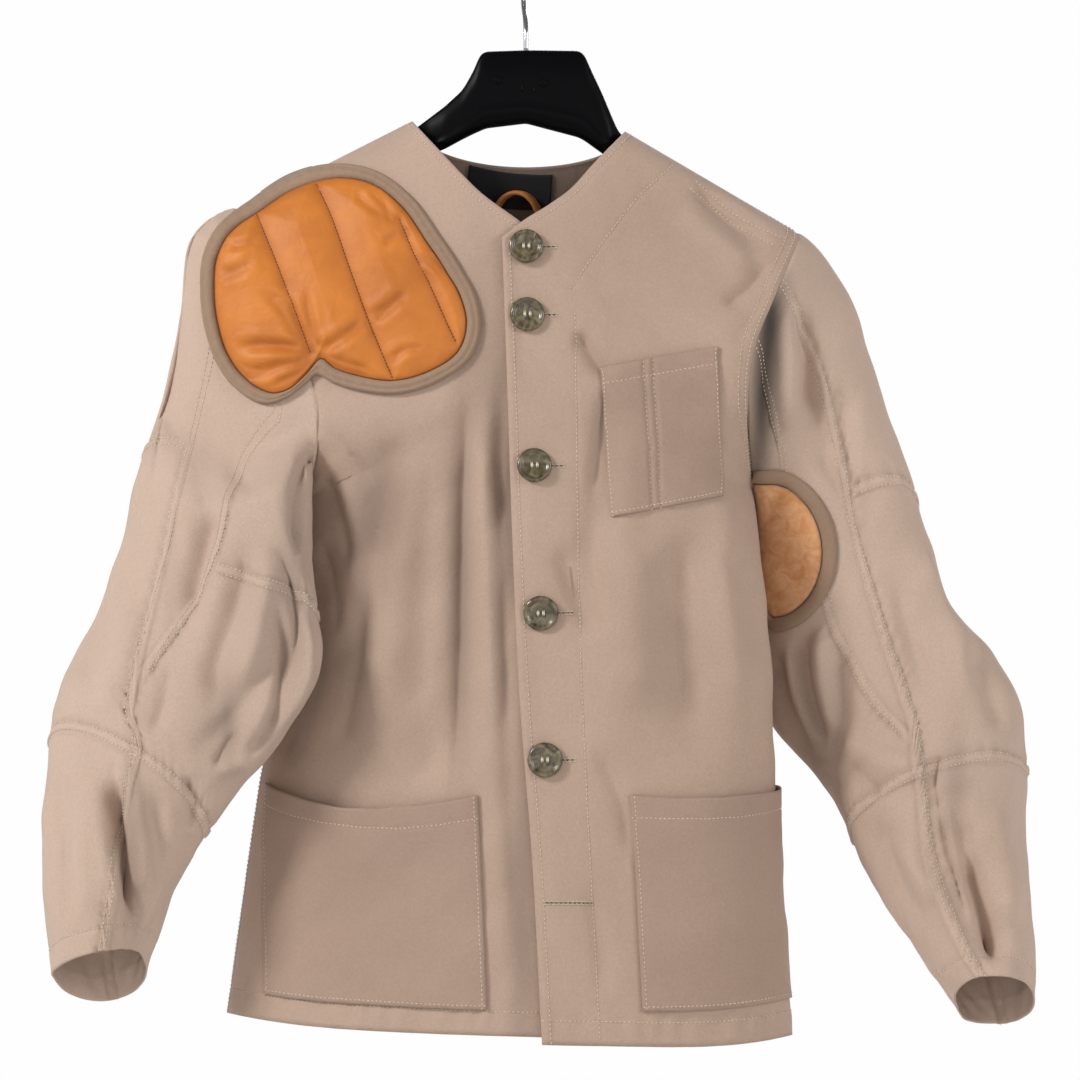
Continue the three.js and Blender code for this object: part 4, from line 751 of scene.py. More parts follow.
# Sleeves
RING_FULL = 2.2  # exponent of the superellipse round a sleeve
OUTER_COLUMN, INNER_COLUMN = 5.5, 19  # columns on a sleeve's silhouettes


def ring(side, u, v):
    """A sleeve's ring: a superellipse between its outer and inner points, its front drawn along it."""
    outer, inner = (columns(RINGS[side], names, v) for names in (("ox", "oy", "oz"), ("nx", "ny", "nz")))
    across = (outer - inner) / 2
    side_way = unit(across)
    ahead = unit(np.array([0.0, -1, 0]) + side_way * side_way[..., 1:2])
    along = np.cross(side_way, ahead)
    along = along * np.where(along[..., 2:] < 0, -1, 1)
    c, s = power(np.cos(2 * np.pi * u), RING_FULL), power(np.sin(2 * np.pi * u), RING_FULL)
    half, front, back = (column(RINGS[side], name, v) for name in ("half", "front", "back"))
    rise = np.where(s > 0, front * s, -back * s)
    level = (outer + inner) / 2 + across * c[..., None] + ahead * (half * s)[..., None]
    return level + along * rise[..., None]


def sleeve_grid(side, i, j):
    """A sleeve at column i round it and row j along it, with its seams on whole columns and rows."""
    i = np.mod(i, ROUND)
    lower = mix(ELBOW_AT[side], CUFF_AT[side], (j - ELBOW_ROWS) / CUFF_ROWS)
    v = np.where(j <= ELBOW_ROWS, j / ELBOW_ROWS * ELBOW_AT[side], lower) + 0 * i
    for row, reach, shift in SLANTS[side]:
        v = v + np.interp(i, *np.transpose(shift)) * np.clip(1 - np.abs(j - row) / reach, 0, 1)
    a, b = column(SEAMS[side], "a", v), column(SEAMS[side], "b", v)
    stops = [
        (0, -0.25 + 0 * a), (OUTER_COLUMN, 0 * a), (SEAM_A, a), (SEAM_B, b),
        (INNER_COLUMN, 0.5 + 0 * a), (ROUND, 0.75 + 0 * a),
    ]
    u = stops[0][1]
    for (i0, u0), (i1, u1) in zip(stops[:-1], stops[1:]):
        u = np.where(i >= i0, mix(u0, u1, (i - i0) / (i1 - i0)), u)
    turned = smooth(v / HEAD)[..., None]
    hole = armhole(side, 0.75 + i / ROUND + 0 * v)
    p = mix(hole, ring(side, u, v), turned)
    facing = np.sin(2 * np.pi * u)
    bare = 1.0
    if side == "right":
        p, bare = under_pad(p, HELD["sleeve"], facing)
    return p, bare * smooth(v - 0.4), facing


# Relief of the cloth
END_FADE = 0.25  # share of a crease's length over which it fades in and out
LIP_REACH = 22  # how far back a turned edge of cloth is raised
# The cloth's own waves: length, direction in radians and height
WAVES = [(97, 0.4, 0.7), (61, 1.9, 0.45), (143, 2.6, 0.9), (33, 0.9, 0.16), (24, 2.2, 0.12)]
WELT = 7.0  # width of the fold of a felled seam
# A felled seam: depth and half width of its groove, height of its fold, height and length of its puckers
GROOVE_DEEP, GROOVE_WIDE, FOLD_HIGH, PUCKER_HIGH, PUCKER_LONG = 1.2, 2.6, 1.3, 0.7, 10.5


def crease_depth(panel, x, z):
    """Height of a panel's folds, creases and fold edges at seen places, each fading at both ends."""
    height = np.zeros(np.shape(x))
    solids = [("fold", *row) for row in FOLDS.get(panel, [])]
    for kind, wide, deep, path in solids + CREASES.get(panel, []):
        far, share, side = path_distance(soft_path(path), x, z)
        fade = smooth(share / END_FADE) * smooth((1 - share) / END_FADE)
        if kind == "fold":
            shape = bell(far, wide)
        elif kind == "crease":
            shape = np.exp(0.28 - np.sqrt((far / wide) ** 2 + 0.08) - (far / wide / 3) ** 2)
        else:
            over = far * side
            shape = smooth(0.5 + over / wide) * bell(np.maximum(over, 0), LIP_REACH)
        height += deep * fade * shape
    return height


def uneven(across, along, phase):
    """The cloth's own slight waves: a few sines of unlike length and direction, in millimetres."""
    total = 0
    for k, (length, turn, high) in enumerate(WAVES):
        ahead = across * math.cos(turn) + along * math.sin(turn)
        total = total + high * np.sin(2 * np.pi * ahead / length + phase * (k + 1.3))
    return total


def seam_relief(far, along):
    """A felled seam: a groove at the line, a raised fold on one side, and puckers along both."""
    groove = -GROOVE_DEEP * bell(far, GROOVE_WIDE)
    fold = FOLD_HIGH * smooth((far + 0.5) / 1.5) * smooth((WELT + 1.5 - far) / 2)
    wave = np.sin(along * 2 * np.pi / PUCKER_LONG + 1.9 * np.sin(along * 2 * np.pi / 43))
    return groove + fold + PUCKER_HIGH * wave * bell(far, WELT)


def seam_shade(far):
    """Tone beside a felled seam: dark in the groove and at the fold's far edge, pale along the fold."""
    dark = 0.1 * bell(far, GROOVE_WIDE) + 0.06 * bell(far - WELT - 1.5, 2.2)
    return 0.05 * smooth((far - 0.5) / 1.5) * smooth((WELT - far) / 1.5) - dark


class Cloth:
    """One piece of cloth as a grid of outer points, as seen and as they lie, with their normals.

    across and along are lengths over the cloth in millimetres, down and over its rows and columns.
    """

    def __init__(self, panel, base, free, closed=False):
        self.closed, self.outward = closed, OUTWARD[panel]
        self.base, self.free = base, free
        self.normal = grid_normals(base, self.outward, closed)
        wide = np.concatenate([base, base[:, :1]], axis=1) if closed else base
        steps = np.linalg.norm(np.diff(wide, axis=1), axis=-1)
        self.across = np.concatenate([np.zeros((len(base), 1)), np.cumsum(steps, axis=1)], axis=1)
        falls = np.linalg.norm(np.diff(base, axis=0), axis=-1)
        self.along = np.concatenate([np.zeros((1, base.shape[1])), np.cumsum(falls, axis=0)])

    def lift(self, height):
        """Moves the grid out by a height, and works out its seen points, places and normals."""
        self.seen = self.base + self.normal * height[..., None]
        self.lies = place(self.seen)
        self.out = grid_normals(self.lies, self.outward, self.closed)
        return self

    def sample(self, grid, rows, cols):
        """Values of a grid at fractional rows and columns, mixed from the four places around."""
        high, wide = grid.shape[:2]
        cols = np.mod(cols, wide) if self.closed else np.clip(cols, 0, wide - 1)
        rows = np.clip(rows, 0, high - 1)
        r = np.minimum(rows.astype(int), high - 2)
        c = cols.astype(int) if self.closed else np.minimum(cols.astype(int), wide - 2)
        c2 = np.mod(c + 1, wide)
        fr, fc = (rows - r)[..., None], (cols - c)[..., None]
        return mix(mix(grid[r, c], grid[r, c2], fc), mix(grid[r + 1, c], grid[r + 1, c2], fc), fr)

    def at(self, rows, cols, out=0.0):
        """Places on the cloth at fractional rows and columns, moved out, and their normals."""
        normal = unit(self.sample(self.out, rows, cols))
        return self.sample(self.lies, rows, cols) + normal * out, normal

    def find(self, x, z):
        """Rows and columns that are seen at (x, z): the nearest place that faces the eye, refined."""
        x, z = np.asarray(x, float), np.asarray(z, float)
        flat = self.seen[::2, ::2]
        miss = (flat[..., 0] - x[..., None, None]) ** 2 + (flat[..., 2] - z[..., None, None]) ** 2
        miss = miss + 1e6 * (self.out[::2, ::2, 1] > -0.02)
        best = miss.reshape(*x.shape, -1).argmin(axis=-1)
        rows, cols = (2.0 * k for k in np.unravel_index(best, flat.shape[:2]))
        for _ in range(5):
            here = self.sample(self.seen, rows, cols)
            down = self.sample(self.seen, rows + 0.5, cols) - self.sample(self.seen, rows - 0.5, cols)
            over = self.sample(self.seen, rows, cols + 0.5) - self.sample(self.seen, rows, cols - 0.5)
            det = over[..., 0] * down[..., 2] - down[..., 0] * over[..., 2]
            det = np.where(np.abs(det) < 1e-3, 1e-3, det)
            dx, dz = x - here[..., 0], z - here[..., 2]
            cols = cols + np.clip((dx * down[..., 2] - down[..., 0] * dz) / det, -3, 3)
            rows = rows + np.clip((over[..., 0] * dz - dx * over[..., 2]) / det, -3, 3)
        return rows, cols


def grid_normals(p, outward, closed=False):
    """Normals of a grid: the cross product of its steps across and down."""
    if closed:
        p = np.concatenate([p[:, -1:], p, p[:, :1]], axis=1)
    normal = unit(np.cross(np.gradient(p, axis=1), np.gradient(p, axis=0))) * outward
    return normal[:, 1:-1] if closed else normal


FRONT_CELLS, BACK_CELLS, BODY_ROWS = 102, 152, 10
SLEEVE_CELLS, SLEEVE_ROWS = 8, 12  # grid cells to one column or row of the tables


ROLL_WIDE = 2.2  # half width of the roll where cloth is turned in
STITCH_DENT = 0.5  # how far a row of stitches sinks
EASED_ROWS = 0.9  # rows of the back on each side of the underarm that are evened
SEAM_ENDS = 0.3  # columns or rows over which a sleeve's seam fades at its ends


def edge_roll(far, deep=1.2):
    """Cloth turned in at a seamed edge: it sinks within a few millimetres of it."""
    return -deep * bell(far, ROLL_WIDE)


def body_grid(cells):
    """Shares across and rows down a body panel, at every place of its grid."""
    return np.meshgrid(np.linspace(0, 1, cells + 1), np.linspace(0, HEM, HEM * BODY_ROWS + 1))


@functools.cache
def front_cloth(side):
    """The cloth of one front, with its creases, stitching dents, edges and hem."""
    panel = f"front_{side}"
    base, free = front_grid(side, *body_grid(FRONT_CELLS))
    cloth = Cloth(panel, base, free)
    x, z = base[..., 0], base[..., 2]
    height = (crease_depth(panel, x, z) + uneven(cloth.across, cloth.along, len(side))) * free
    for on, path in TOPSTITCH:
        if on == panel:
            height -= STITCH_DENT * bell(path_distance(path, x, z)[0], 1.5)
    to_side = cloth.across[:, -1:] - cloth.across
    height += edge_roll(to_side) + edge_roll(cloth.along, 0.8)
    to_hem = cloth.along[-1:] - cloth.along
    height += hem_relief(to_hem, cloth.across)
    return cloth.lift(height)


HEM_DEEP = 18


def hem_relief(to_hem, across):
    """A hem: a dent at its stitching, and slight waves between that and the edge."""
    wave = np.sin(across * 2 * np.pi / 19 + 2 * np.sin(across * 2 * np.pi / 83))
    dent = -STITCH_DENT * bell(to_hem - HEM_DEEP, 1.6)
    return dent + 0.7 * wave * bell(to_hem - HEM_DEEP + 3, 10)


def eased(base, v):
    """A grid whose rows near the underarm are averaged with their neighbours, which takes out the step."""
    near = bell(v - UNDERARM, EASED_ROWS)[..., None]
    for _ in range(12):
        around = base.copy()
        around[1:-1] = (base[:-2] + 2 * base[1:-1] + base[2:]) / 4
        base = mix(base, around, near)
    return base


@functools.cache
def back_cloth():
    """The cloth of the back, with its creases, edges and hem."""
    t, v = body_grid(BACK_CELLS)
    base, free = back_grid(t, v)
    cloth = Cloth("back", eased(base, v), free)
    x, z = base[..., 0], base[..., 2]
    height = (crease_depth("back", x, z) + uneven(cloth.across, cloth.along, 3)) * free
    height += edge_roll(cloth.across) + edge_roll(cloth.across[:, -1:] - cloth.across)
    height += edge_roll(cloth.along, 0.8) + hem_relief(cloth.along[-1:] - cloth.along, cloth.across)
    return cloth.lift(height)


SEAMS_MEET = 9  # the sleeve's two front seams run into one when they are this near
PATCH_CALM = 16  # how far round the elbow patch the sleeve lies flat


@functools.cache
def sleeve_cloth(side):
    """The cloth of one sleeve, with its creases, felled seams and cuff."""
    panel = f"sleeve_{side}"
    i = np.arange(ROUND * SLEEVE_CELLS)[None, :] / SLEEVE_CELLS
    j = np.arange((ELBOW_ROWS + CUFF_ROWS) * SLEEVE_ROWS + 1)[:, None] / SLEEVE_ROWS
    i, j = i + 0 * j, j + 0 * i
    base, free, facing = sleeve_grid(side, i, j)
    cloth = Cloth(panel, base, free, closed=True)
    x, z = base[..., 0], base[..., 2]
    height = crease_depth(panel, x, z) * smooth(facing / FACING)
    height += crease_depth(f"{panel}_behind", x, z) * smooth(-facing / FACING)
    across = cloth.across[:, :-1]
    height += uneven(across, cloth.along, 1 + len(side))
    # The sleeve's tone: painted shade beside its seams, added with them below
    cloth.tone = np.ones(x.shape)
    between = at_column(across, SEAM_B) - at_column(across, SEAM_A)
    above = smooth((ELBOW_ROWS - j) / SEAM_ENDS) * smooth((between - SEAMS_MEET) / 10)
    long_seams = [
        (across - at_column(across, SEAM_A), 1),
        (at_column(across, SEAM_B) - across, above),
        (across, 1),
        (cloth.across[:, -1:] - across, 0),
    ]
    for far, share in long_seams:
        height += seam_relief(far, cloth.along) * share if np.any(share) else edge_roll(far)
        cloth.tone += seam_shade(far) * share
    for row, start, end in cross_seams(side):
        within = smooth((i - start) / SEAM_ENDS) * smooth((end - i) / SEAM_ENDS) if end < ROUND else 1
        far = cloth.along - cloth.along[int(row * SLEEVE_ROWS)]
        height += seam_relief(far, across) * within
        cloth.tone += seam_shade(far) * within
    if side == "left":
        wide, tall = PATCH["wide"] + PATCH_CALM, PATCH["tall"] + PATCH_CALM
        from_patch = np.hypot((x - PATCH["x"]) / wide, (z - PATCH["z"]) / tall)
        height *= mix(1, smooth((from_patch - 0.95) / 0.35), smooth(facing / FACING + 1.5))
    height = height * free + edge_roll(cloth.along, 1.4)
    cloth.tone = mix(1, cloth.tone, free)
    return cloth.lift(height + hem_relief(cloth.along[-1:] - cloth.along, across))


def at_column(grid, column_number):
    """A grid's values along one column of the tables."""
    return grid[:, column_number * SLEEVE_CELLS][:, None]


def cross_seams(side):
    """Cross seams of a sleeve: row, first and last column."""
    seams = [(6, 0, SEAM_A), (ELBOW_ROWS, -1, ROUND)]
    return seams + [(7, SEAM_B, ROUND - 0.01)] if side == "right" else seams


# Meshes
LEAST_AREA = 0.31  # smallest share of its bounding cut that a sheet is declared with


def quads_of(index):
    """Quads between neighbouring rows and columns of point numbers."""
    return points(index[:-1, :-1], index[:-1, 1:], index[1:, 1:], index[1:, :-1]).reshape(-1, 4)


def shell_faces(rows, cols, closed=False):
    """Quads of a wall between two grids, outer first, with its rim; and the same as uncut corners."""
    found = []
    for wide in (cols, cols + 1 if closed else cols):
        index = np.arange(rows * wide).reshape(rows, wide)
        if closed and wide == cols:
            index = np.concatenate([index, index[:, :1]], axis=1)
        quads = quads_of(index)
        faces, half = [quads, quads[:, ::-1] + rows * wide], rows * wide
        edges = [index[0], index[-1][::-1]]
        if not closed:
            edges += [index[::-1, 0], index[:, -1]]
        faces += [points(e[1:], e[:-1], e[:-1] + half, e[1:] + half) for e in edges]
        found.append(np.concatenate(faces))
    return found


def add_object(name, data):
    """A new object in the scene with the given data."""
    made = bpy.data.objects.new(name, data)
    bpy.context.scene.collection.objects.link(made)
    return made


def make_piece(name, pts, faces, finish, slot, nodes=(), uv=None, tone=None):
    """Puts points in millimetres and their faces into a smooth mesh that faces outwards, and rides it."""
    pts = pts.reshape(-1, 3) / METRE
    tris = np.concatenate([faces[:, :3], faces[:, [0, 2, 3]]]) if faces.shape[1] == 4 else faces
    a, b, c = (pts[tris[:, k]] for k in range(3))
    if (a * np.cross(b, c)).sum() < 0:
        faces = faces[:, ::-1]
        uv = uv[:, ::-1] if uv is not None else None
    mesh = bpy.data.meshes.new(name)
    mesh.from_pydata(pts, [], faces)
    if uv is not None:
        mesh.uv_layers.new(name="cloth").data.foreach_set("uv", (uv / METRE).ravel())
    if tone is not None:
        mesh.attributes.new("tone", "FLOAT", "POINT").data.foreach_set("value", tone.ravel())
    mesh.shade_smooth()
    mesh.materials.append(finishes()[finish])
    piece = add_object(name, mesh)
    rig.ride(piece, "root")
    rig.slot(piece, slot)
    if nodes:
        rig.replaces(piece, *nodes)
    return piece


def make_wall(name, outer, inner, finish, slot, nodes, flat=None, tone=1.0, closed=False):
    """A wall between two grids, closed at its borders; flat is each place's lengths over the cloth."""
    faces, corners = shell_faces(*outer.shape[:2], closed)
    uv = None if flat is None else np.tile(flat.reshape(-1, 2), (2, 1))[corners]
    tone = np.broadcast_to(tone, (2, *outer.shape[:2]))
    return make_piece(name, np.stack([outer, inner]), faces, finish, slot, nodes, uv, tone)


def make_cloth(panel, cloth, finish, nodes, tone):
    """A wall of cloth round a panel's grid, declared as a hung sheet."""
    wall = bpy.context.scene.jacket.cloth_wall * METRE
    outer, inner = cloth.lies + cloth.out * wall / 2, cloth.lies - cloth.out * wall / 2
    along = np.concatenate([cloth.along, cloth.along[:, :1]], axis=1) if cloth.closed else cloth.along
    flat = points(cloth.across, along)
    piece = make_wall(f"{panel}_cloth", outer, inner, finish, "cotton", nodes, flat, tone, cloth.closed)
    declare_sheet(piece, outer, cloth.closed)


def declare_sheet(piece, grid, closed=False, rests_on=("hanger",), held="hung"):
    """Declares a sheet with its cut: the longest width and length over it, and its real area."""
    grid = grid / METRE
    wide = np.concatenate([grid, grid[:, :1]], axis=1) if closed else grid
    over = np.linalg.norm(np.diff(wide, axis=1), axis=-1)
    down = np.linalg.norm(np.diff(wide, axis=0), axis=-1)
    width, length = over.sum(axis=1).max(), down.sum(axis=0).max()
    a, b, c, d = wide[:-1, :-1], wide[:-1, 1:], wide[1:, 1:], wide[1:, :-1]
    area = np.linalg.norm(np.cross(c - a, d - b), axis=-1).sum() / 2
    area = min(max(area, LEAST_AREA * width * length), width * length)
    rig.sheet(piece, flat=(width, length), held=held, rests_on=list(rests_on), area=area)


# Materials
def linear(colour):
    """An sRGB hex colour as linear values with alpha."""
    parts = [int(colour[k:k + 2], 16) / 255 for k in (1, 3, 5)]
    return (*(c / 12.92 if c <= 0.04045 else ((c + 0.055) / 1.055) ** 2.4 for c in parts), 1.0)


def add_node(tree, kind, inputs=None, **settings):
    """Adds one shader node: its settings, and each input's value, or the node or output that feeds it."""
    made = tree.nodes.new(f"ShaderNode{kind}")
    for name, value in settings.items():
        setattr(made, name, value)
    for name, value in (inputs or {}).items():
        if isinstance(value, bpy.types.Node):
            value = value.outputs[0]
        if isinstance(value, bpy.types.NodeSocket):
            tree.links.new(value, made.inputs[name])
        else:
            made.inputs[name].default_value = value
    return made


def new_material(name, **shader):
    """An empty material with its shader; returns it, a function that adds a node, and the shader node."""
    material = bpy.data.materials.new(name)
    material.use_nodes = True
    tree = material.node_tree
    tree.nodes.clear()
    bsdf = add_node(tree, "BsdfPrincipled", {k.replace("_", " "): v for k, v in shader.items()})
    add_node(tree, "OutputMaterial", {"Surface": bsdf})
    return material, functools.partial(add_node, tree), bsdf


def feed(node, name, output):
    """Links an output, or a node's first one, to a node's input."""
    output = output.outputs[0] if isinstance(output, bpy.types.Node) else output
    node.id_data.links.new(output, node.inputs[name])


MM = 0.001  # one millimetre in a material's metres


def woven(name, colour, worn, thread=0.9, fuzz=0.25):
    """Cotton cloth, plain woven: matt, with a fine grid of threads, slubs, soft rumples and worn patches."""
    material, node, bsdf = new_material(name, Roughness=0.9, Sheen_Weight=0.12, Sheen_Roughness=0.45)
    uv = node("UVMap", uv_map="cloth")
    spot = node("TexCoord").outputs["Object"]
    patches = node("TexNoise", {"Vector": spot, "Scale": 1 / (95 * MM), "Detail": 5.0, "Roughness": 0.55})
    tint = node("Mix", {0: patches, 6: linear(worn), 7: colour}, data_type="RGBA")
    yarn = node("TexNoise", {"Vector": spot, "Scale": 1 / (1.6 * MM), "Detail": 2.0})
    speck = node("MapRange", {0: yarn, 1: 0.3, 2: 0.7, 3: 1 - fuzz * 0.22, 4: 1 + fuzz * 0.22})
    # The tone attribute darkens or lightens the colour: painted shade and light
    tone = node("Attribute", attribute_name="tone")
    shade = node("Math", {0: speck, 1: tone.outputs["Fac"]}, operation="MULTIPLY")
    painted = node("VectorMath", {0: tint.outputs[2], 3: shade}, operation="SCALE")
    feed(bsdf, "Base Color", painted)
    # Threads are about 0.4 mm apart; they are drawn coarser so that they show
    split = node("SeparateXYZ", {0: uv})
    waves = []
    for axis in (0, 1):
        turns = node("Math", {0: split.outputs[axis], 1: 2 * math.pi / (thread * MM)}, operation="MULTIPLY")
        waves.append(node("Math", {0: turns}, operation="SINE"))
    weave = node("Math", {0: waves[0], 1: waves[1]}, operation="MULTIPLY")
    rumple = node("TexNoise", {
        "Vector": spot, "Scale": 1 / (17 * MM), "Detail": 4.0, "Roughness": 0.5, "Distortion": 0.6,
    })
    soft = node("Bump", {"Height": rumple, "Strength": 0.35, "Distance": 2.2 * MM})
    fine = node("Bump", {"Height": weave, "Strength": 0.35, "Distance": 0.12 * MM, "Normal": soft})
    feed(bsdf, "Normal", fine)
    return material


def leather(name, colour, dark, gloss, grain=1.7, rough=0.42):
    """Soft orange leather: a pebbled grain, darker where it is drawn in or rubbed, and a low shine."""
    material, node, bsdf = new_material(name, Roughness=rough, Specular_IOR_Level=gloss)
    spot = node("TexCoord").outputs["Object"]
    rubbed = node("TexNoise", {"Vector": spot, "Scale": 1 / (34 * MM), "Detail": 5.0, "Distortion": 0.5})
    # The tone attribute is painted shade; rubbed is random wear
    tone = node("Attribute", attribute_name="tone")
    worn = node("MapRange", {0: rubbed, 1: 0.35, 2: 0.65, 3: 0.65, 4: 1.0})
    share = node("Math", {0: worn, 1: tone.outputs["Fac"]}, operation="MULTIPLY")
    tint = node("Mix", {0: share, 6: linear(dark), 7: colour}, data_type="RGBA")
    feed(bsdf, "Base Color", tint.outputs[2])
    cells = {"Vector": spot, "Scale": 1 / (grain * MM), "Randomness": 1.0}
    pebble = node("TexVoronoi", cells, feature="DISTANCE_TO_EDGE")
    creased = node("TexNoise", {"Vector": spot, "Scale": 1 / (9 * MM), "Detail": 6.0, "Distortion": 1.2})
    soft = node("Bump", {"Height": creased, "Strength": 0.4, "Distance": 1.4 * MM})
    fine = node("Bump", {"Height": pebble, "Strength": 0.25, "Distance": 0.35 * MM, "Normal": soft})
    feed(bsdf, "Normal", fine)
    return material


def suede(colour):
    """Suede: a short nap that lies in patches, so that its colour shifts, with scuffs; no shine."""
    material, node, bsdf = new_material("suede", Roughness=0.97, Sheen_Weight=0.25, Sheen_Roughness=0.6)
    spot = node("TexCoord").outputs["Object"]
    nap = node("TexNoise", {
        "Vector": spot, "Scale": 1 / (12 * MM), "Detail": 8.0, "Roughness": 0.65, "Distortion": 0.8,
    })
    share = node("MapRange", {0: nap, 1: 0.35, 2: 0.68, 3: 0.0, 4: 1.0})
    tint = node("Mix", {0: share, 6: linear("#c2814b"), 7: colour}, data_type="RGBA")
    feed(bsdf, "Base Color", tint.outputs[2])
    fibre = node("TexNoise", {"Vector": spot, "Scale": 1 / (0.9 * MM), "Detail": 3.0})
    fine = node("Bump", {"Height": fibre, "Strength": 0.4, "Distance": 0.4 * MM})
    feed(bsdf, "Normal", fine)
    return material


def horn():
    """Polished horn: olive and brown streaks under a clear shine."""
    material, node, bsdf = new_material("horn", Roughness=0.22, IOR=1.54, Coat_Weight=0.3)
    spot = node("TexCoord").outputs["Object"]
    streak = node("TexNoise", {"Vector": spot, "Scale": 1 / (11 * MM), "Detail": 5.0, "Distortion": 2.2})
    ramp = node("ValToRGB", {0: streak})
    stops = ramp.color_ramp.elements
    stops[0].position, stops[0].color = 0.3, linear("#2c2616")
    stops[1].position, stops[1].color = 0.72, linear("#81745a")
    middle = stops.new(0.5)
    middle.color = linear("#5a4f38")
    feed(bsdf, "Base Color", ramp)
    return material


def plain(name, colour, rough, scale, deep, **shader):
    """A surface of one colour whose finish is a fine roughness: moulded plastic, wire or thread."""
    material, node, bsdf = new_material(name, Base_Color=linear(colour), **shader)
    spot = node("TexCoord").outputs["Object"]
    grit = node("TexNoise", {"Vector": spot, "Scale": 1 / (scale * MM), "Detail": 3.0})
    spread = node("MapRange", {0: grit, 3: rough[0], 4: rough[1]})
    feed(bsdf, "Roughness", spread)
    fine = node("Bump", {"Height": grit, "Strength": 0.3, "Distance": deep * MM})
    feed(bsdf, "Normal", fine)
    return material


@functools.cache
def finishes():
    """All the finishes, each named for the real stuff."""
    chosen = bpy.context.scene.jacket
    return {
        # Cotton poplin, washed and faded; the sleeves take a paler copy of it, painted light for the light that falls
        # on them
        "cotton": woven("cotton_poplin", chosen.cloth_colour, "#ab917f"),
        "painted_lit_cotton": woven("cotton_poplin_painted_lit", chosen.sleeve_colour, "#b59c8a"),
        "pocketing": woven("cotton_pocketing", chosen.pocket_colour, "#9f8574"),
        # Cotton tape with a coarser weave than the panels
        "binding": woven("cotton_binding", chosen.tape_colour, "#8b715b", thread=1.3),
        # Soft cowhide, darker in rubbed patches and with painted shade in its seams and wrinkles, and a strap of the
        # same
        "leather": leather("quilted_leather", chosen.leather_colour, "#8f4a1a", 0.3, rough=0.52),
        "strap": leather("strap_leather", chosen.strap_colour, "#a55f2b", 0.4),
        # Sueded cowhide with a short nap, and horn for the buttons
        "suede": suede(chosen.suede_colour),
        "horn": horn(),
        # Woven label: dense black yarn with a dull face
        "label": woven("label_weave", linear("#1b1a1e"), "#121115", thread=0.7),
        # Sewing thread: pale, slightly shiny polyester
        "thread": plain("sewing_thread", "#e2d2bc", (0.5, 0.65), 0.8, 0.1),
        # Waxed thread of the quilting, dark and almost unbroken, so that it also paints the shade in the seams'
        # grooves
        "dark_thread": plain("leather_thread", "#6b3512", (0.5, 0.65), 0.8, 0.1),
        # Raw cloth in a buttonhole, dark as painted shade in its slit
        "slit": plain("buttonhole_slit", "#4a382c", (0.8, 0.9), 0.8, 0.1),
        "button_thread": plain("button_thread", "#e4dcc4", (0.5, 0.65), 0.8, 0.1),
        # Hanger: injection-moulded black plastic, smooth with a faint spark-eroded grain
        "moulding": plain("moulded_polystyrene", "#070709", (0.28, 0.4), 1.1, 0.05, Specular_IOR_Level=0.06),
        # Hook: bright drawn wire, plated
        "wire": plain("plated_wire", "#b9bcc0", (0.14, 0.28), 1.5, 0.02, Metallic=1.0),
    }


# Fronts, back and sleeves
def soft_spots(cloth, panel):
    """Tone of a panel: 1, less a soft round spot for each row of middle, reach and darkening."""
    x, z = cloth.seen[..., 0], cloth.seen[..., 2]
    tone = np.ones(x.shape)
    for mx, mz, rx, rz, dark in PAINTED_SHADING[panel]:
        tone -= dark * np.exp(-(((x - mx) / rx) ** 2) - ((z - mz) / rz) ** 2)
    return tone


# Painted shade of each panel: darker spots where shade falls between the fronts, at the armholes, in folds and inside
# the neck
# The spot inside the back's neck darkens its outside too; a negative darkening paints light where the sleeves catch it
PAINTED_SHADING = {
    "front_right": [
        (-108, -402, 30, 50, 0.34), (-124, -500, 30, 70, 0.12), (-48, -460, 9, 130, 0.34),
        (-3, -690, 9, 120, 0.3), (-34, -280, 14, 60, 0.2), (-160, -400, 10, 90, 0.12),
        (-168, -560, 14, 80, 0.12), (-12, -385, 5, 60, 0.5),
    ],
    "front_left": [
        (90, -480, 90, 150, 0.04), (100, -205, 90, 60, 0.1), (60, -350, 10, 60, 0.14),
        (165, -330, 14, 90, 0.12),
    ],
    "back": [(0, -450, 120, 200, 0.03), (0, -180, 85, 50, 0.6)],
    "sleeve_right": [
        (-318, -690, 60, 70, -0.05), (-300, -440, 60, 110, -0.02), (-190, -500, 34, 90, 0.12),
        (-166, -460, 12, 90, 0.2), (-232, -560, 22, 40, 0.12), (-284, -655, 7, 55, 0.32),
        (-216, -560, 8, 30, 0.3),
    ],
    "sleeve_left": [
        (340, -690, 70, 70, -0.03), (250, -400, 40, 160, -0.05), (215, -570, 40, 50, 0.16),
        (178, -262, 10, 50, 0.8), (170, -335, 9, 60, 0.8), (208, -620, 14, 60, 0.16),
        (312, -600, 10, 34, 0.25),
    ],
}


def build_fronts():
    """The two front panels."""
    for side in ("left", "right"):
        cloth, panel = front_cloth(side), f"front_{side}"
        make_cloth(panel, cloth, "cotton", [panel], soft_spots(cloth, panel))


def build_back():
    """The back panel."""
    cloth = back_cloth()
    make_cloth("back", cloth, "cotton", ["back"], soft_spots(cloth, "back"))


def build_sleeves():
    """Both sleeves, each one cloth over its six or seven solids."""
    for side in ("left", "right"):
        cloth, panel = sleeve_cloth(side), f"sleeve_{side}"
        nodes = [name for name in frame["nodes"] if name.startswith(f"{panel}_")]
        # The sleeves take the cloth painted paler for the light on them, and the painted shading of their spots and
        # seams
        make_cloth(panel, cloth, "painted_lit_cotton", nodes, soft_spots(cloth, panel) * cloth.tone)


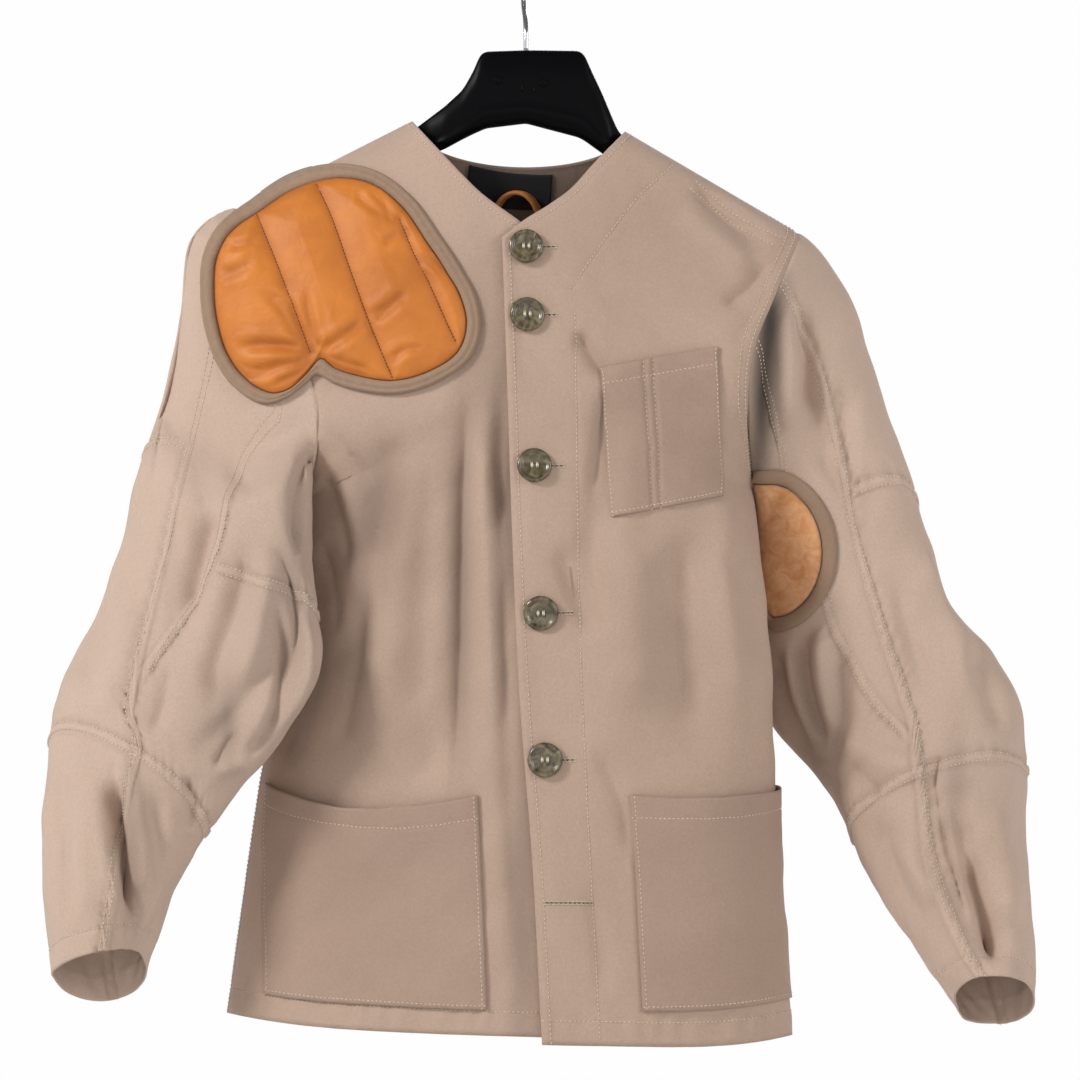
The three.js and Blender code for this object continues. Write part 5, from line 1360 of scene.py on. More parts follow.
# Pockets
POCKETS = {
    "pocket_chest": {
        "side": "left", "tl": (53.7, -302.6), "bl": (62.4, -410.6), "tr": (139.2, -287.3), "br": (142, -396),
        "mouth": 2, "sag": 0, "hem": 12,
    },
    "pocket_left": {
        "side": "left", "tl": (75.4, -612), "bl": (84.1, -769), "width": 170,
        "mouth": 4, "sag": 3, "hem": 18,
    },
    "pocket_right": {
        "side": "right", "tl": (-34.8, -612), "bl": (-28.3, -768), "width": 168,
        "mouth": 9, "sag": 9, "hem": 18,
    },
}
POCKET_WALL, POCKET_SEAT = 1.2, 1.5
POCKET_SPAN, CHEST_SPAN = 165, 84  # widths over which edge sewing and the slot are set out
POCKET_INSET = 3  # from the edge to its stitching
CHEST_SLOT = (0.36, 0.44)  # the chest pocket's slot, as shares of its width


def pocket_places(name, s, w):
    """Rows and columns on the front under a pocket's place: s across it and w down it."""
    size = POCKETS[name]
    cloth = front_cloth(size["side"])
    if "width" not in size:
        tl, tr, bl, br = (np.array(size[key]) for key in ("tl", "tr", "bl", "br"))
        cs, cw = np.meshgrid(np.linspace(0, 1, 9), np.linspace(0, 1, 9))
        seen = mix(mix(tl, tr, cs[..., None]), mix(bl, br, cs[..., None]), cw[..., None])
        coarse = np.stack(cloth.find(seen[..., 0], seen[..., 1]), axis=-1)
        found = even_grid(coarse, w * 8, s * 8)
        return cloth, found[..., 0], found[..., 1]
    corners = [cloth.find(*map(np.array, size[key])) for key in ("tl", "bl")]
    far = []
    for row, col in corners:
        reach = cloth.sample(cloth.across[..., None], row[None], col[None])[0, 0] + size["width"]
        line = cloth.across[int(round(float(row)))]
        far.append((row, np.interp(reach, line, np.arange(len(line)))))
    (rtl, ctl), (rbl, cbl), (rtr, ctr), (rbr, cbr) = *corners, *far
    rows = mix(mix(rtl, rtr, s), mix(rbl, rbr, s), w)
    cols = mix(mix(ctl, ctr, s), mix(cbl, cbr, s), w)
    per_mm = len(cloth.along) / cloth.along[-1].mean()
    rows = rows + size["sag"] * per_mm * 4 * s * (1 - s) * (1 - w) ** 2
    return cloth, rows, cols


def even_grid(grid, rows, cols):
    """Values of a small open grid at fractional rows and columns."""
    r = np.clip(rows.astype(int), 0, grid.shape[0] - 2)
    c = np.clip(cols.astype(int), 0, grid.shape[1] - 2)
    fr, fc = (rows - r)[..., None], (cols - c)[..., None]
    return mix(mix(grid[r, c], grid[r, c + 1], fc), mix(grid[r + 1, c], grid[r + 1, c + 1], fc), fr)


def pocket_lift(name, s, w):
    """How far a pocket stands off its front: it bows at the mouth and lies close along its sewn edges."""
    size = POCKETS[name]
    belly = size["mouth"] * (4 * s * (1 - s)) ** 0.8 * (1 - w) ** 2
    ripple = 0.5 * np.sin(9 * s + 4 * w) * np.sin(5 * w + 2 * s) * 4 * s * (1 - s)
    hem = -0.4 * bell(w * pocket_depth(name) - size["hem"], 1.5)
    edges = -0.35 * bell(np.minimum(s, 1 - s) * POCKET_SPAN - POCKET_INSET, 1.5)
    slot = 0
    if name == "pocket_chest":
        slot = sum(-1.3 * bell((s - at) * CHEST_SPAN, 1.6) for at in CHEST_SLOT)
    return POCKET_SEAT + belly + ripple + hem + edges + slot


def pocket_depth(name):
    """Length of a pocket from mouth to foot."""
    size = POCKETS[name]
    return math.dist(size["tl"], size["bl"])


def build_pockets():
    """The three patch pockets, each a wall that stands off its front."""
    s, w = np.meshgrid(np.linspace(0, 1, 67), np.linspace(0, 1, 61))
    for name, size in POCKETS.items():
        cloth, rows, cols = pocket_places(name, s, w)
        inner, normal = cloth.at(rows, cols, pocket_lift(name, s, w)[..., None])
        outer = inner + normal * POCKET_WALL
        flat = points(s * POCKET_SPAN, w * pocket_depth(name))
        tone = 1 - 0.06 * bell(w - 0.2, 0.3)
        piece = make_wall(f"{name}_cloth", outer, inner, "pocketing", "pocketing", [name], flat, tone)
        declare_sheet(piece, outer, rests_on=[f"front_{size['side']}"])


# Recoil pad
PAD_TURNS, PAD_RINGS = 300, 60
PAD_PUFF = 7.5
PAD_SEAT = SOLID_WALL / 2 + SEAT + 0.2
LEATHER_EDGE = 1.6  # the pad's leather where no quilting fills it
BINDING_HIGH, BINDING_LONG, BINDING_TURNS = 4.4, 560, 432
TAPE_WIDE = 11
# Wrinkles of the leather: half width, depth and path as seen
PAD_WRINKLES = [
    (4, -2.2, [(-150.8, -294), (-168, -288), (-190, -286), (-214, -288)]),
    (4, -2.0, [(-150.8, -294), (-172, -300), (-196, -306), (-212, -300)]),
    (4, -1.8, [(-152, -296), (-168, -308), (-186, -316)]),
    (4, -1.8, [(-152, -292), (-164, -276), (-176, -258), (-196, -244)]),
    (3, -1.5, [(-150, -290), (-156, -268), (-160, -244)]),
    (4, -1.8, [(-114.6, -269.2), (-132, -280), (-150, -292)]),
    (4, -1.8, [(-112, -268), (-98, -258), (-84, -246)]),
    (4, -1.5, [(-146, -296), (-130, -302), (-112, -306)]),
    (3, -1.3, [(-124, -178), (-112, -186), (-100, -196)]),
    (3, -1.2, [(-112, -174), (-102, -186), (-94, -200)]),
    (3, -1.2, [(-104, -214), (-92, -206), (-82, -206)]),
    (4, -1.4, [(-224, -236), (-208, -232), (-196, -224)]),
    (3, -1.2, [(-221, -214), (-206, -214), (-190, -208)]),
    (3, -1.2, [(-60, -232), (-68, -226), (-78, -222)]),
    (3, -1.2, [(-100, -300), (-88, -290), (-72, -288)]),
]


def pad_bed(x, z, lift):
    """The bed's point and normal from which a lift comes out at the seen place."""
    def bed(x, z):
        step = 0.5
        dx = (pad_depth(x + step, z) - pad_depth(x - step, z)) / (2 * step)
        dz = (pad_depth(x, z + step) - pad_depth(x, z - step)) / (2 * step)
        return points(x, pad_depth(x, z), z), unit(points(dx, -1, dz))

    p, n = bed(x, z)
    for _ in range(6):
        p, n = bed(x - n[..., 0] * lift, z - n[..., 2] * lift)
    return p, n


def pad_height(x, z, to_edge):
    """Height of the quilting: it rises from every seam and from the edge, and wrinkles cross it."""
    seams = [path_distance(soft_path(line), x, z)[0] for line in QUILTING]
    seam = functools.reduce(np.minimum, seams, to_edge)
    high = PAD_PUFF * (1 - np.exp(-((seam / 15) ** 0.9)))
    # Painted shade: darker within a few millimetres of each seam and the edge, and in each wrinkle's trough
    shade = 0.5 * np.exp(-seam / 2)
    for wide, deep, path in PAD_WRINKLES:
        far, share, _ = path_distance(soft_path(path), x, z)
        fade = smooth(share / 0.15) * smooth((1 - share) / 0.3)
        trough = fade * bell(far, wide)
        ridge = fade * bell(far - 2 * wide, wide)
        high += 1.5 * deep * (trough - 0.35 * ridge)
        shade += 0.12 * np.abs(deep) * trough
    return np.maximum(high, 0.2 + 1.8 * smooth(seam / 5)), 1 - np.minimum(shade, 0.8)


def evened(grid, times=24):
    """Rings of values averaged with their neighbours, round and across, so that no step is left in them."""
    for _ in range(times):
        around = np.concatenate([grid[:, -1:], grid, grid[:, :1]], axis=1)
        grid = (around[:, :-2] + 2 * grid + around[:, 2:]) / 4
        grid[1:-1] = (grid[:-2] + 2 * grid[1:-1] + grid[2:]) / 4
    return grid


def build_pad():
    """The quilted leather and the sewing in its seams."""
    bearing = np.linspace(0, 360, PAD_TURNS, endpoint=False)[None, :]
    share = np.concatenate([np.linspace(0.03, 0.9, PAD_RINGS - 8), np.linspace(0.92, 1, 8)])[:, None]
    reach = column(PAD_OUTLINE, "reach", bearing)
    x, z = pad_place(share * reach, bearing)
    # tone is the leather's painted shade at its seams and wrinkles
    high, tone = pad_height(x, z, (1 - share) * reach + 0 * x)
    bed, normal = pad_bed(x, z, PAD_SEAT + 3)
    seen = points(x, 0, z)
    bed, normal = seen + evened(bed - seen), unit(evened(normal))
    top = place(bed + normal * (PAD_SEAT + LEATHER_EDGE + high)[..., None])
    low = place(bed + normal * PAD_SEAT)
    pts, faces = disc(top, low)
    tone = np.concatenate([tone.ravel(), tone.ravel(), [1, 1]])
    pad = make_piece("recoil_pad_leather", pts, faces, "leather", "pad_leather", ["recoil_pad"], tone=tone)
    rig.padded(pad, fill=0.55)
    # The quilting thread lies dark and unbroken in each seam: real thread, and painted shade of the groove
    seams = []
    for line in QUILTING:
        x, z = soft_path(line, 16).T
        bed, normal = pad_bed(x, z, PAD_SEAT + 3)
        lift = PAD_SEAT + LEATHER_EDGE + pad_height(x, z, 99.0)[0] + 0.25
        seams.append(stitches_along(place(bed + normal * lift[:, None]), normal, 2.6, 1.02))
    make_piece("recoil_pad_sewing", *joined(seams), "dark_thread", "pad_leather")


def disc(top, low):
    """A closed round body from rings of upper and lower points: middles filled by fans, rims joined."""
    rings, turns = top.shape[:2]
    half = rings * turns
    index = np.arange(half).reshape(rings, turns)
    index = np.concatenate([index, index[:, :1]], axis=1)
    quads = quads_of(index)
    tris = np.concatenate([quads[:, :3], quads[:, [0, 2, 3]]])
    first, last = index[0], index[-1]
    fan = points(np.full(turns, 2 * half), first[1:], first[:-1])
    rim = np.concatenate([
        points(last[:-1], last[1:], last[1:] + half),
        points(last[:-1], last[1:] + half, last[:-1] + half),
    ])
    low_fan = points(np.full(turns, 2 * half + 1), first[:-1] + half, first[1:] + half)
    faces = np.concatenate([tris, tris[:, ::-1] + half, fan, low_fan, rim])
    middles = np.stack([top[0].mean(axis=0), low[0].mean(axis=0)])
    return np.concatenate([top.reshape(-1, 3), low.reshape(-1, 3), middles]), faces


def pad_place(reach, bearing):
    """The seen place at a reach and bearing from the pad's middle."""
    turn = np.radians(bearing)
    return PAD_MIDDLE[0] + reach * np.sin(turn), PAD_MIDDLE[1] + reach * np.cos(turn)


def build_binding():
    """Cloth tape round the pad: a low crown with a stitched valley down its middle."""
    bearing = np.linspace(0, 360, BINDING_TURNS, endpoint=False)[None, :]
    across = np.linspace(0, 1, 13)[:, None]
    reach = column(PAD_OUTLINE, "reach", bearing) + 0.2 + across * column(PAD_OUTLINE, "band", bearing)
    x, z = pad_place(reach, bearing)
    crown = BINDING_HIGH * (1 - np.abs(2 * across - 1) ** 3.2) ** 0.6
    crown = crown + 0.5 * bell(across - 0.3, 0.12) - 0.7 * bell(across - 0.62, 0.09)
    turn = np.radians(bearing)
    pucker = 0.22 * np.sin(turn * 58 + 2 * np.sin(turn * 5)) * np.sin(np.pi * across)
    bed, normal = pad_bed(x, z, PAD_SEAT + BINDING_HIGH / 2)
    top = place(bed + normal * (PAD_SEAT + np.maximum(crown + pucker, 0.3))[..., None])
    low = place(bed + normal * PAD_SEAT)
    flat = points(TAPE_WIDE * across, np.linspace(0, BINDING_LONG, BINDING_TURNS + 1)[None, :])
    piece = make_wall(
        "recoil_pad_binding_tape", top, low, "binding", "binding", ["recoil_pad_binding"], flat, closed=True,
    )
    declare_sheet(piece, np.swapaxes(top, 0, 1), rests_on=["front_right"], held="laid")


# Elbow patch
PATCH_ROUND = 300  # length of the tape round the patch
PATCH_TURNS, PATCH_RINGS, TAPE_RINGS = 120, 14, 8


def walk(cloth, start, bearing, distances):
    """Rows and columns reached by going straight over the cloth from a start, one for each distance."""
    rows, cols = (np.full(bearing.shape, float(k)) for k in start)
    ahead, found = None, []
    top = PATCH["top"] * SLEEVE_ROWS
    steps = np.diff(np.concatenate([[np.zeros_like(bearing)], distances]), axis=0)
    for step in steps:
        for _ in range(4):
            down = cloth.sample(cloth.base, rows + 1, cols) - cloth.sample(cloth.base, rows - 1, cols)
            over = cloth.sample(cloth.base, rows, cols + 1) - cloth.sample(cloth.base, rows, cols - 1)
            down, over = down / 2, over / 2
            n = unit(np.cross(over, down))
            if ahead is None:
                level = unit(points(n[..., 1], -n[..., 0], 0 * n[..., 0]))
                fall = np.cross(level, n)
                ahead = level * np.cos(bearing)[..., None] + fall * np.sin(bearing)[..., None]
            ahead = unit(ahead - n * (ahead * n).sum(-1, keepdims=True))
            aa, ab, bb = (over * over).sum(-1), (over * down).sum(-1), (down * down).sum(-1)
            pa, pb = (over * ahead).sum(-1), (down * ahead).sum(-1)
            det = aa * bb - ab * ab
            cols = cols + step / 4 * (pa * bb - pb * ab) / det
            rows = np.maximum(rows + step / 4 * (pb * aa - pa * ab) / det, top)
        found.append((rows, cols))
    return found


def patch_rings():
    """The patch's rings over the sleeve, out to its edge and on across its tape."""
    cloth = sleeve_cloth("left")
    turn = full_turn(PATCH_TURNS)
    across = np.cos(turn) * np.where(np.cos(turn) > 0, PATCH["behind"], PATCH["wide"])
    reach = np.hypot(across, PATCH["tall"] * np.sin(turn))
    bearing = np.arctan2(PATCH["tall"] * np.sin(turn), across)
    shares = np.linspace(0.06, 1, PATCH_RINGS)
    stops = [share * reach for share in shares]
    stops += [reach + 0.7 + PATCH["band"] * k / TAPE_RINGS for k in range(TAPE_RINGS + 1)]
    start = [float(k[0]) for k in cloth.find([PATCH["x"]], [PATCH["z"]])]
    return cloth, walk(cloth, start, bearing, np.array(stops)), len(shares)


def build_elbow_patch():
    """The suede, thinner towards its edge, and the tape that binds it."""
    cloth, found, inside = patch_rings()
    seat = SOLID_WALL / 2 + SEAT + 0.5
    low, normal = zip(*(cloth.at(rows, cols, seat) for rows, cols in found))
    low, normal = np.array(low), np.array(normal)
    edge = np.linspace(0, 1, inside)[:, None, None]
    top = low[:inside] + normal[:inside] * (1.2 + 0.8 * (1 - edge**6))
    pts, faces = disc(top, low[:inside])
    tone = np.ones(len(pts))
    piece = make_piece("elbow_patch_suede", pts, faces, "suede", "suede", ["elbow_patch"], tone=tone)
    area = (PATCH["wide"] + PATCH["behind"]) * PATCH["tall"] * math.pi / 2
    cut = (PATCH["wide"] + PATCH["behind"]) / METRE, 2 * PATCH["tall"] / METRE
    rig.sheet(piece, flat=cut, held="laid", rests_on=["sleeve_left_inner"], area=area / METRE**2)
    band_low, band_normal = low[inside:], normal[inside:]
    across = np.linspace(0, 1, len(band_low))[:, None, None]
    crown = 2.6 * (1 - np.abs(2 * across - 1) ** 3) ** 0.6 + 0.4
    band = band_low + band_normal * crown
    flat = points(TAPE_WIDE * across[:, :, 0], np.linspace(0, PATCH_ROUND, band.shape[1] + 1)[None, :])
    tape = make_wall(
        "elbow_patch_binding_tape", band, band_low, "binding", "binding", ["elbow_patch_binding"], flat,
        closed=True,
    )
    declare_sheet(tape, np.swapaxes(band, 0, 1), rests_on=["sleeve_left_inner"], held="laid")


# Label and hanging loop
LABEL_WIDE, LABEL_TALL, LABEL_WALL, LABEL_GAP = 62, 26, 0.8, 1.2
LABEL_CORNERS = [(-42, -154.5), (18.9, -162.2), (16.5, -187), (-44.5, -180)]
LOOP = {"left": -21, "right": 12, "foot": -197, "top": -175.5, "wide": 10, "wall": 3.4, "lean": 0.45}


def inside_back(x, z):
    """Rows and columns of the back seen at (x, z) through the neck: its inside faces the eye."""
    cloth = back_cloth()
    flip = cloth.out[..., 1] > 0.02
    seen = np.where(flip[..., None], cloth.seen, 1e6)
    miss = (seen[..., 0] - x[..., None, None]) ** 2 + (seen[..., 2] - z[..., None, None]) ** 2
    miss[..., 60:, :] = 1e9
    best = miss.reshape(*x.shape, -1).argmin(axis=-1)
    return cloth, *np.unravel_index(best, flip.shape)


def build_label():
    """The bare label: a thin strip on the inside of the back."""
    s, w = np.meshgrid(np.linspace(0, 1, 41), np.linspace(0, 1, 17))
    cloth, rows, cols = inside_back(*np.array(LABEL_CORNERS).T)
    row = mix(mix(rows[0], rows[1], s), mix(rows[3], rows[2], s), w)
    col = mix(mix(cols[0], cols[1], s), mix(cols[3], cols[2], s), w)
    back, normal = cloth.at(row, col, -LABEL_GAP)
    face = back - normal * LABEL_WALL
    flat = points(s * LABEL_WIDE, w * LABEL_TALL)
    piece = make_wall("neck_label_weave", face, back, "label", "label", ["neck_label"], flat)
    declare_sheet(piece, face, rests_on=["back"], held="laid")


def build_loop():
    """A leather strap doubled into an arch that leans out from the back's neck edge."""
    s = np.linspace(0, 1, 49)
    x = mix(LOOP["left"], LOOP["right"], 0.5 - 0.5 * np.cos(np.pi * s))
    z = LOOP["foot"] + (LOOP["top"] - LOOP["foot"]) * np.sin(np.pi * s)
    low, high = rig.box("hanging_loop")
    y_back = high[1] * METRE - SOLID_WALL - LOOP["lean"] * (z - LOOP["foot"])
    out = unit(points(-np.gradient(z), 0 * z, np.gradient(x)))
    lean = unit(np.array([-LOOP["lean"], -1.0, 0]))
    across = np.linspace(0, 1, 7)[None, :, None]
    mid = points(x, y_back, z)[:, None, :] + lean * across * LOOP["wide"]
    crown = 0.5 + 0.5 * (1 - np.abs(2 * across - 1) ** 4)
    up = place(mid + out[:, None, :] * LOOP["wall"] / 2 * crown)
    down = place(mid - out[:, None, :] * LOOP["wall"] / 2 * crown)
    piece = make_wall("hanging_loop_strap", up, down, "strap", "pad_leather", ["hanging_loop"])
    declare_sheet(piece, up, rests_on=["back"])


# Buttons and their sewing
BUTTONS = [(0, -214.8), (0.7, -264.1), (5.8, -373.6), (10.9, -480.2), (13.8, -586.8)]
BUTTON_R, BUTTON_SIDES = 12.3, 48
# Buttonholes: where they start and end beside a button's middle, and the empty one as seen
HOLE_FROM, HOLE_TO, EMPTY_HOLE = 11.5, 22.5, (13.8, 48.6, -690.4)
EYE_OUT = 1.9  # from a button's middle to each eye, across and up
# Outline of a button from its back to the middle of its face: radius share and height
BUTTON_PROFILE = [
    (0, 0), (0.8, 0), (0.93, 0.5), (1, 1.6), (0.99, 2.7), (0.94, 3.6), (0.87, 3.95), (0.8, 3.75),
    (0.73, 3.1), (0.66, 2.65), (0.5, 2.5), (0.34, 2.4), (0, 2.3),
]


def button_frame(k):
    """Seat, normal and two ways across of one button, on the left front."""
    cloth = front_cloth("left")
    rows, cols = cloth.find(*(np.array([c], float) for c in BUTTONS[k]))
    seat, normal = cloth.at(rows, cols, SOLID_WALL / 2 + SEAT)
    seat, normal = seat[0], normal[0]
    over = unit(np.cross(normal, np.array([0, 0, -1.0])))
    return seat, normal, over, np.cross(over, normal)


def build_buttons():
    """Buttons turned from a smooth outline, each with two bars of thread through its eyes."""
    profile = soft_path(BUTTON_PROFILE, 4)
    radius, high = profile[:, :1] * BUTTON_R, profile[:, 1:]
    turn = full_turn(BUTTON_SIDES)[None, :]
    for k in range(len(BUTTONS)):
        seat, normal, over, up = button_frame(k)
        rim = radius * (1 + 0 * turn)
        eyes = sum(
            -0.9 * np.exp(-(((rim * np.cos(turn) - ex) ** 2 + (rim * np.sin(turn) - ez) ** 2) / 0.9))
            for ex in (-EYE_OUT, EYE_OUT) for ez in (-EYE_OUT, EYE_OUT)
        )
        rise = high + eyes * (np.arange(len(profile)) > len(profile) / 2)[:, None]
        grid = (
            seat + over * (rim * np.cos(turn))[..., None] + up * (rim * np.sin(turn))[..., None]
            + normal * rise[..., None]
        )
        pts, faces = lathe(grid[1:-1], grid[0, 0], grid[-1, 0])
        make_piece(f"button_{k + 1}_horn", pts, faces, "horn", "horn", [f"button_{k + 1}"])


def lathe(grid, start, end):
    """Rings of points as quads, closed at both ends by a middle point; all faces as triangles."""
    rings, turns = grid.shape[:2]
    index = np.arange(rings * turns).reshape(rings, turns)
    index = np.concatenate([index, index[:, :1]], axis=1)
    quads = quads_of(index)
    fans = [
        points(np.full(turns, rings * turns), index[0, 1:], index[0, :-1]),
        points(np.full(turns, rings * turns + 1), index[-1, :-1], index[-1, 1:]),
    ]
    faces = np.concatenate([quads[:, :3], quads[:, [0, 2, 3]], *fans])
    return np.concatenate([grid.reshape(-1, 3), [start, end]]), faces


# Stitches
STITCH_FACES = np.array([
    (0, 2, 3), (0, 3, 4), (0, 4, 5), (0, 5, 2), (1, 3, 2), (1, 4, 3), (1, 5, 4), (1, 2, 5),
])
# How far in from an edge its rows of stitches lie: at armhole and side, at a felled seam, at the front edge
EDGE_ROWS, WELT_ROWS, FRONT_ROW = (3.5, 9.5), (1.8, 7.2), 4.5


def stitch_mesh(middles, ways, normals, long, wide=0.85, high=0.5):
    """Each stitch is a long eight-sided grain: two ends, and four corners round its middle."""
    over = unit(np.cross(normals, ways))
    half = np.broadcast_to(np.asarray(long, float), len(middles))[:, None] / 2
    corners = [
        middles - ways * half, middles + ways * half, middles + over * wide / 2, middles + normals * high,
        middles - over * wide / 2, middles - normals * high / 2,
    ]
    pts = np.stack(corners, axis=1).reshape(-1, 3)
    faces = (STITCH_FACES[None] + 6 * np.arange(len(middles))[:, None, None]).reshape(-1, 3)
    return pts, faces


def sewn_line(cloth, rows, cols, pitch=3.2, out=0.9):
    """Stitches along a line of rows and columns on a cloth, a pitch apart."""
    return stitches_along(*cloth.at(rows, cols, out), pitch, 0.76)


def stitches_along(path, normals, pitch, fill):
    """Stitches along a path of points, a pitch apart, each filling a share of it."""
    spots = resample(path, pitch)
    number = np.arange(len(path))
    middles = np.stack([np.interp(spots, number, path[:, k]) for k in range(3)], axis=1)
    turned = unit(np.stack([np.interp(spots, number, normals[:, k]) for k in range(3)], axis=1))
    ways = np.gradient(middles, axis=0)
    ways = unit(ways - turned * (ways * turned).sum(-1, keepdims=True))
    return stitch_mesh(middles, ways, turned, pitch * fill)


def joined(parts):
    """Several sets of points and faces as one."""
    starts = np.cumsum([0] + [len(pts) for pts, _ in parts[:-1]])
    faces = [found + start for (_, found), start in zip(parts, starts)]
    return np.concatenate([pts for pts, _ in parts]), np.concatenate(faces)


def front_lines(side):
    """Topstitching of a front: seen lines, and lines a set way in from the neck, edge, hem and armhole."""
    cloth = front_cloth(side)
    high, wide = cloth.along.shape
    lines = []
    for on, path in TOPSTITCH:
        if on == f"front_{side}":
            lines.append(cloth.find(*soft_path(path, 24).T))
    rows = np.arange(0, high, 2.0)
    step = np.interp(rows, np.arange(high), cloth.across[:, -1]) / (wide - 1)
    arm = rows <= UNDERARM * BODY_ROWS
    for inset in EDGE_ROWS:
        if side == "left":
            lines.append((rows[arm], wide - 1 - inset / step[arm]))
    edge = rows[rows >= (0 if side == "left" else 5)]
    lines.append((edge, FRONT_ROW / np.interp(edge, rows, step)))
    cols = np.arange(0, wide, 2.0)
    last = cloth.along[-1] - cloth.along[-1 - BODY_ROWS]
    lines.append((high - 1 - HEM_DEEP * BODY_ROWS / np.interp(cols, np.arange(wide), last), cols))
    return [(cloth, *line) for line in lines]


def back_lines():
    """Topstitching of the back, set in from its hem, neck and sides."""
    cloth = back_cloth()
    high, wide = cloth.along.shape
    rows, cols = np.arange(0, high, 2.0), np.arange(0, wide, 2.0)
    fall = np.interp(cols, np.arange(wide), cloth.along[-1] - cloth.along[-1 - BODY_ROWS])
    lines = [(high - 1 - HEM_DEEP * BODY_ROWS / fall, cols), (0 * cols + 1.8, cols)]
    step = np.interp(rows, np.arange(high), cloth.across[:, -1]) / (wide - 1)
    for inset in EDGE_ROWS:
        lines += [(rows, wide - 1 - inset / step), (rows, inset / step)]
    return [(cloth, *line) for line in lines]


def sleeve_lines(side):
    """Double rows beside the long seams, the cross seams and the cuff's hem."""
    cloth = sleeve_cloth(side)
    high, wide = cloth.along.shape
    rows, cols = np.arange(4, high, 1.0), np.arange(0, wide + 1, 1.0)
    step = cloth.across[rows.astype(int), -1] / wide
    lines = []
    between = (at_column(cloth.across, SEAM_B) - at_column(cloth.across, SEAM_A))[rows.astype(int), 0]
    for seam, ways, last in ((SEAM_A, 1, high), (SEAM_B, -1, ELBOW_ROWS * SLEEVE_ROWS), (0, 1, high)):
        part = (rows < last) & ((between > SEAMS_MEET + 6) | (seam != SEAM_B))
        lines += [(rows[part], seam * SLEEVE_CELLS + ways * inset / step[part]) for inset in WELT_ROWS]
    for row, start, end in cross_seams(side):
        part = (cols >= start * SLEEVE_CELLS) & (cols <= end * SLEEVE_CELLS)
        at = int(row * SLEEVE_ROWS)
        fall = (cloth.along[at + 4] - cloth.along[at])[np.mod(cols.astype(int), wide)] / 4
        lines += [(at + inset / fall[part], cols[part]) for inset in WELT_ROWS]
    fall = (cloth.along[-1] - cloth.along[-9])[np.mod(cols.astype(int), wide)] / 8
    lines.append((high - 1 - HEM_DEEP / fall, cols))
    return [(cloth, *line) for line in lines]


def build_stitching():
    """Topstitching of fronts, back and sleeves."""
    pitch = bpy.context.scene.jacket.stitch_pitch * METRE
    groups = {
        "fronts": front_lines("left") + front_lines("right"),
        "back": back_lines(),
        "sleeves": sleeve_lines("left") + sleeve_lines("right"),
    }
    for name, lines in groups.items():
        pts, faces = joined([sewn_line(*line, pitch=pitch) for line in lines])
        make_piece(f"topstitching_{name}", pts, faces, "thread", "cotton")


def build_pocket_stitching():
    """Topstitching round the pockets, and beside the chest pocket's slot."""
    parts = []
    for name in POCKETS:
        deep = pocket_depth(name)
        run = np.linspace(0, 1, 90)
        inset = POCKET_INSET / POCKET_SPAN
        lines = [
            (0 * run + inset, run), (0 * run + 1 - inset, run), (run, 0 * run + 1 - POCKET_INSET / deep),
            (run, 0 * run + POCKETS[name]["hem"] / deep),
        ]
        if name == "pocket_chest":
            lines += [(0 * run + at, run) for at in CHEST_SLOT]
        for s, w in lines:
            cloth, rows, cols = pocket_places(name, s, w)
            out = pocket_lift(name, s, w) + POCKET_WALL + 0.1
            parts.append(sewn_line(cloth, rows, cols, out=out[..., None]))
    pts, faces = joined(parts)
    make_piece("topstitching_pockets", pts, faces, "thread", "cotton")


def build_buttonholes():
    """Buttonholes beside the buttons, an empty frayed one below them, and the buttons' thread."""
    cloth, parts, bars = front_cloth("left"), [], []
    holes = [(x + HOLE_FROM, x + HOLE_TO, z) for x, z in BUTTONS] + [EMPTY_HOLE]
    for start, end, z in holes:
        run = np.arange(start, end, 0.9)
        for offset in (-1.0, 1.0):
            rows, cols = cloth.find(run, z + offset + 0.25 * np.sin(run * 2.1))
            spots, normals = cloth.at(rows, cols, 0.8)
            ways = unit(np.cross(normals, np.array([1.0, 0.12, 0])))
            parts.append(stitch_mesh(spots, ways, normals, 1.9 + 0.5 * np.sin(run * 3.7), 0.7, 0.5))
    for k in range(len(BUTTONS)):
        seat, normal, over, up = button_frame(k)
        for sign in (-EYE_OUT, EYE_OUT):
            for shift in (-0.45, 0.45):
                middle = (seat + normal * 2.9 + over * (sign + shift))[None]
                bars.append(stitch_mesh(middle, up[None], normal[None], 5.6, 1.2, 0.9))
    # A dark line along each buttonhole: painted shade in its slit
    lines = [cloth.find(*np.linspace((start, z), (end, z), 12).T) for start, end, z in holes]
    slits = [sewn_line(cloth, *line, out=0.85) for line in lines]
    make_piece("buttonhole_thread", *joined(parts), "thread", "cotton")
    make_piece("buttonhole_slits", *joined(slits), "slit", "cotton")
    make_piece("button_thread", *joined(bars), "button_thread", "horn")


# Hanger and hook
HANGER = table(
    "at top low half",
    (-203, -189.3, -197, 5), (-196, -185.5, -200, 7), (-150, -162.5, -182, 8), (-100, -137, -160, 8),
    (-80, -128.8, -151.5, 4.5), (-72, -122.8, -148.5, 5), (-59, -113, -144, 9.5), (-46, -101, -137, 11),
    (-38, -87, -133, 11), (-33.5, -75.5, -131, 11), (-29, -73, -129, 11), (0, -72, -125.5, 11),
    (38, -72.5, -135.5, 11), (42.5, -75, -138, 11), (48, -88, -142, 11), (55, -102.5, -147, 11),
    (61, -117, -151, 9.5), (67, -131.4, -155, 3.6), (76, -139, -160, 4), (100, -150.5, -174, 8),
    (150, -180.2, -199, 8), (184, -200.2, -213, 7), (190, -204.8, -213, 5),
)
HANGER_SIDES = 48
HANGER_FACE = -8.8  # how far forward the face of the hanger's block is
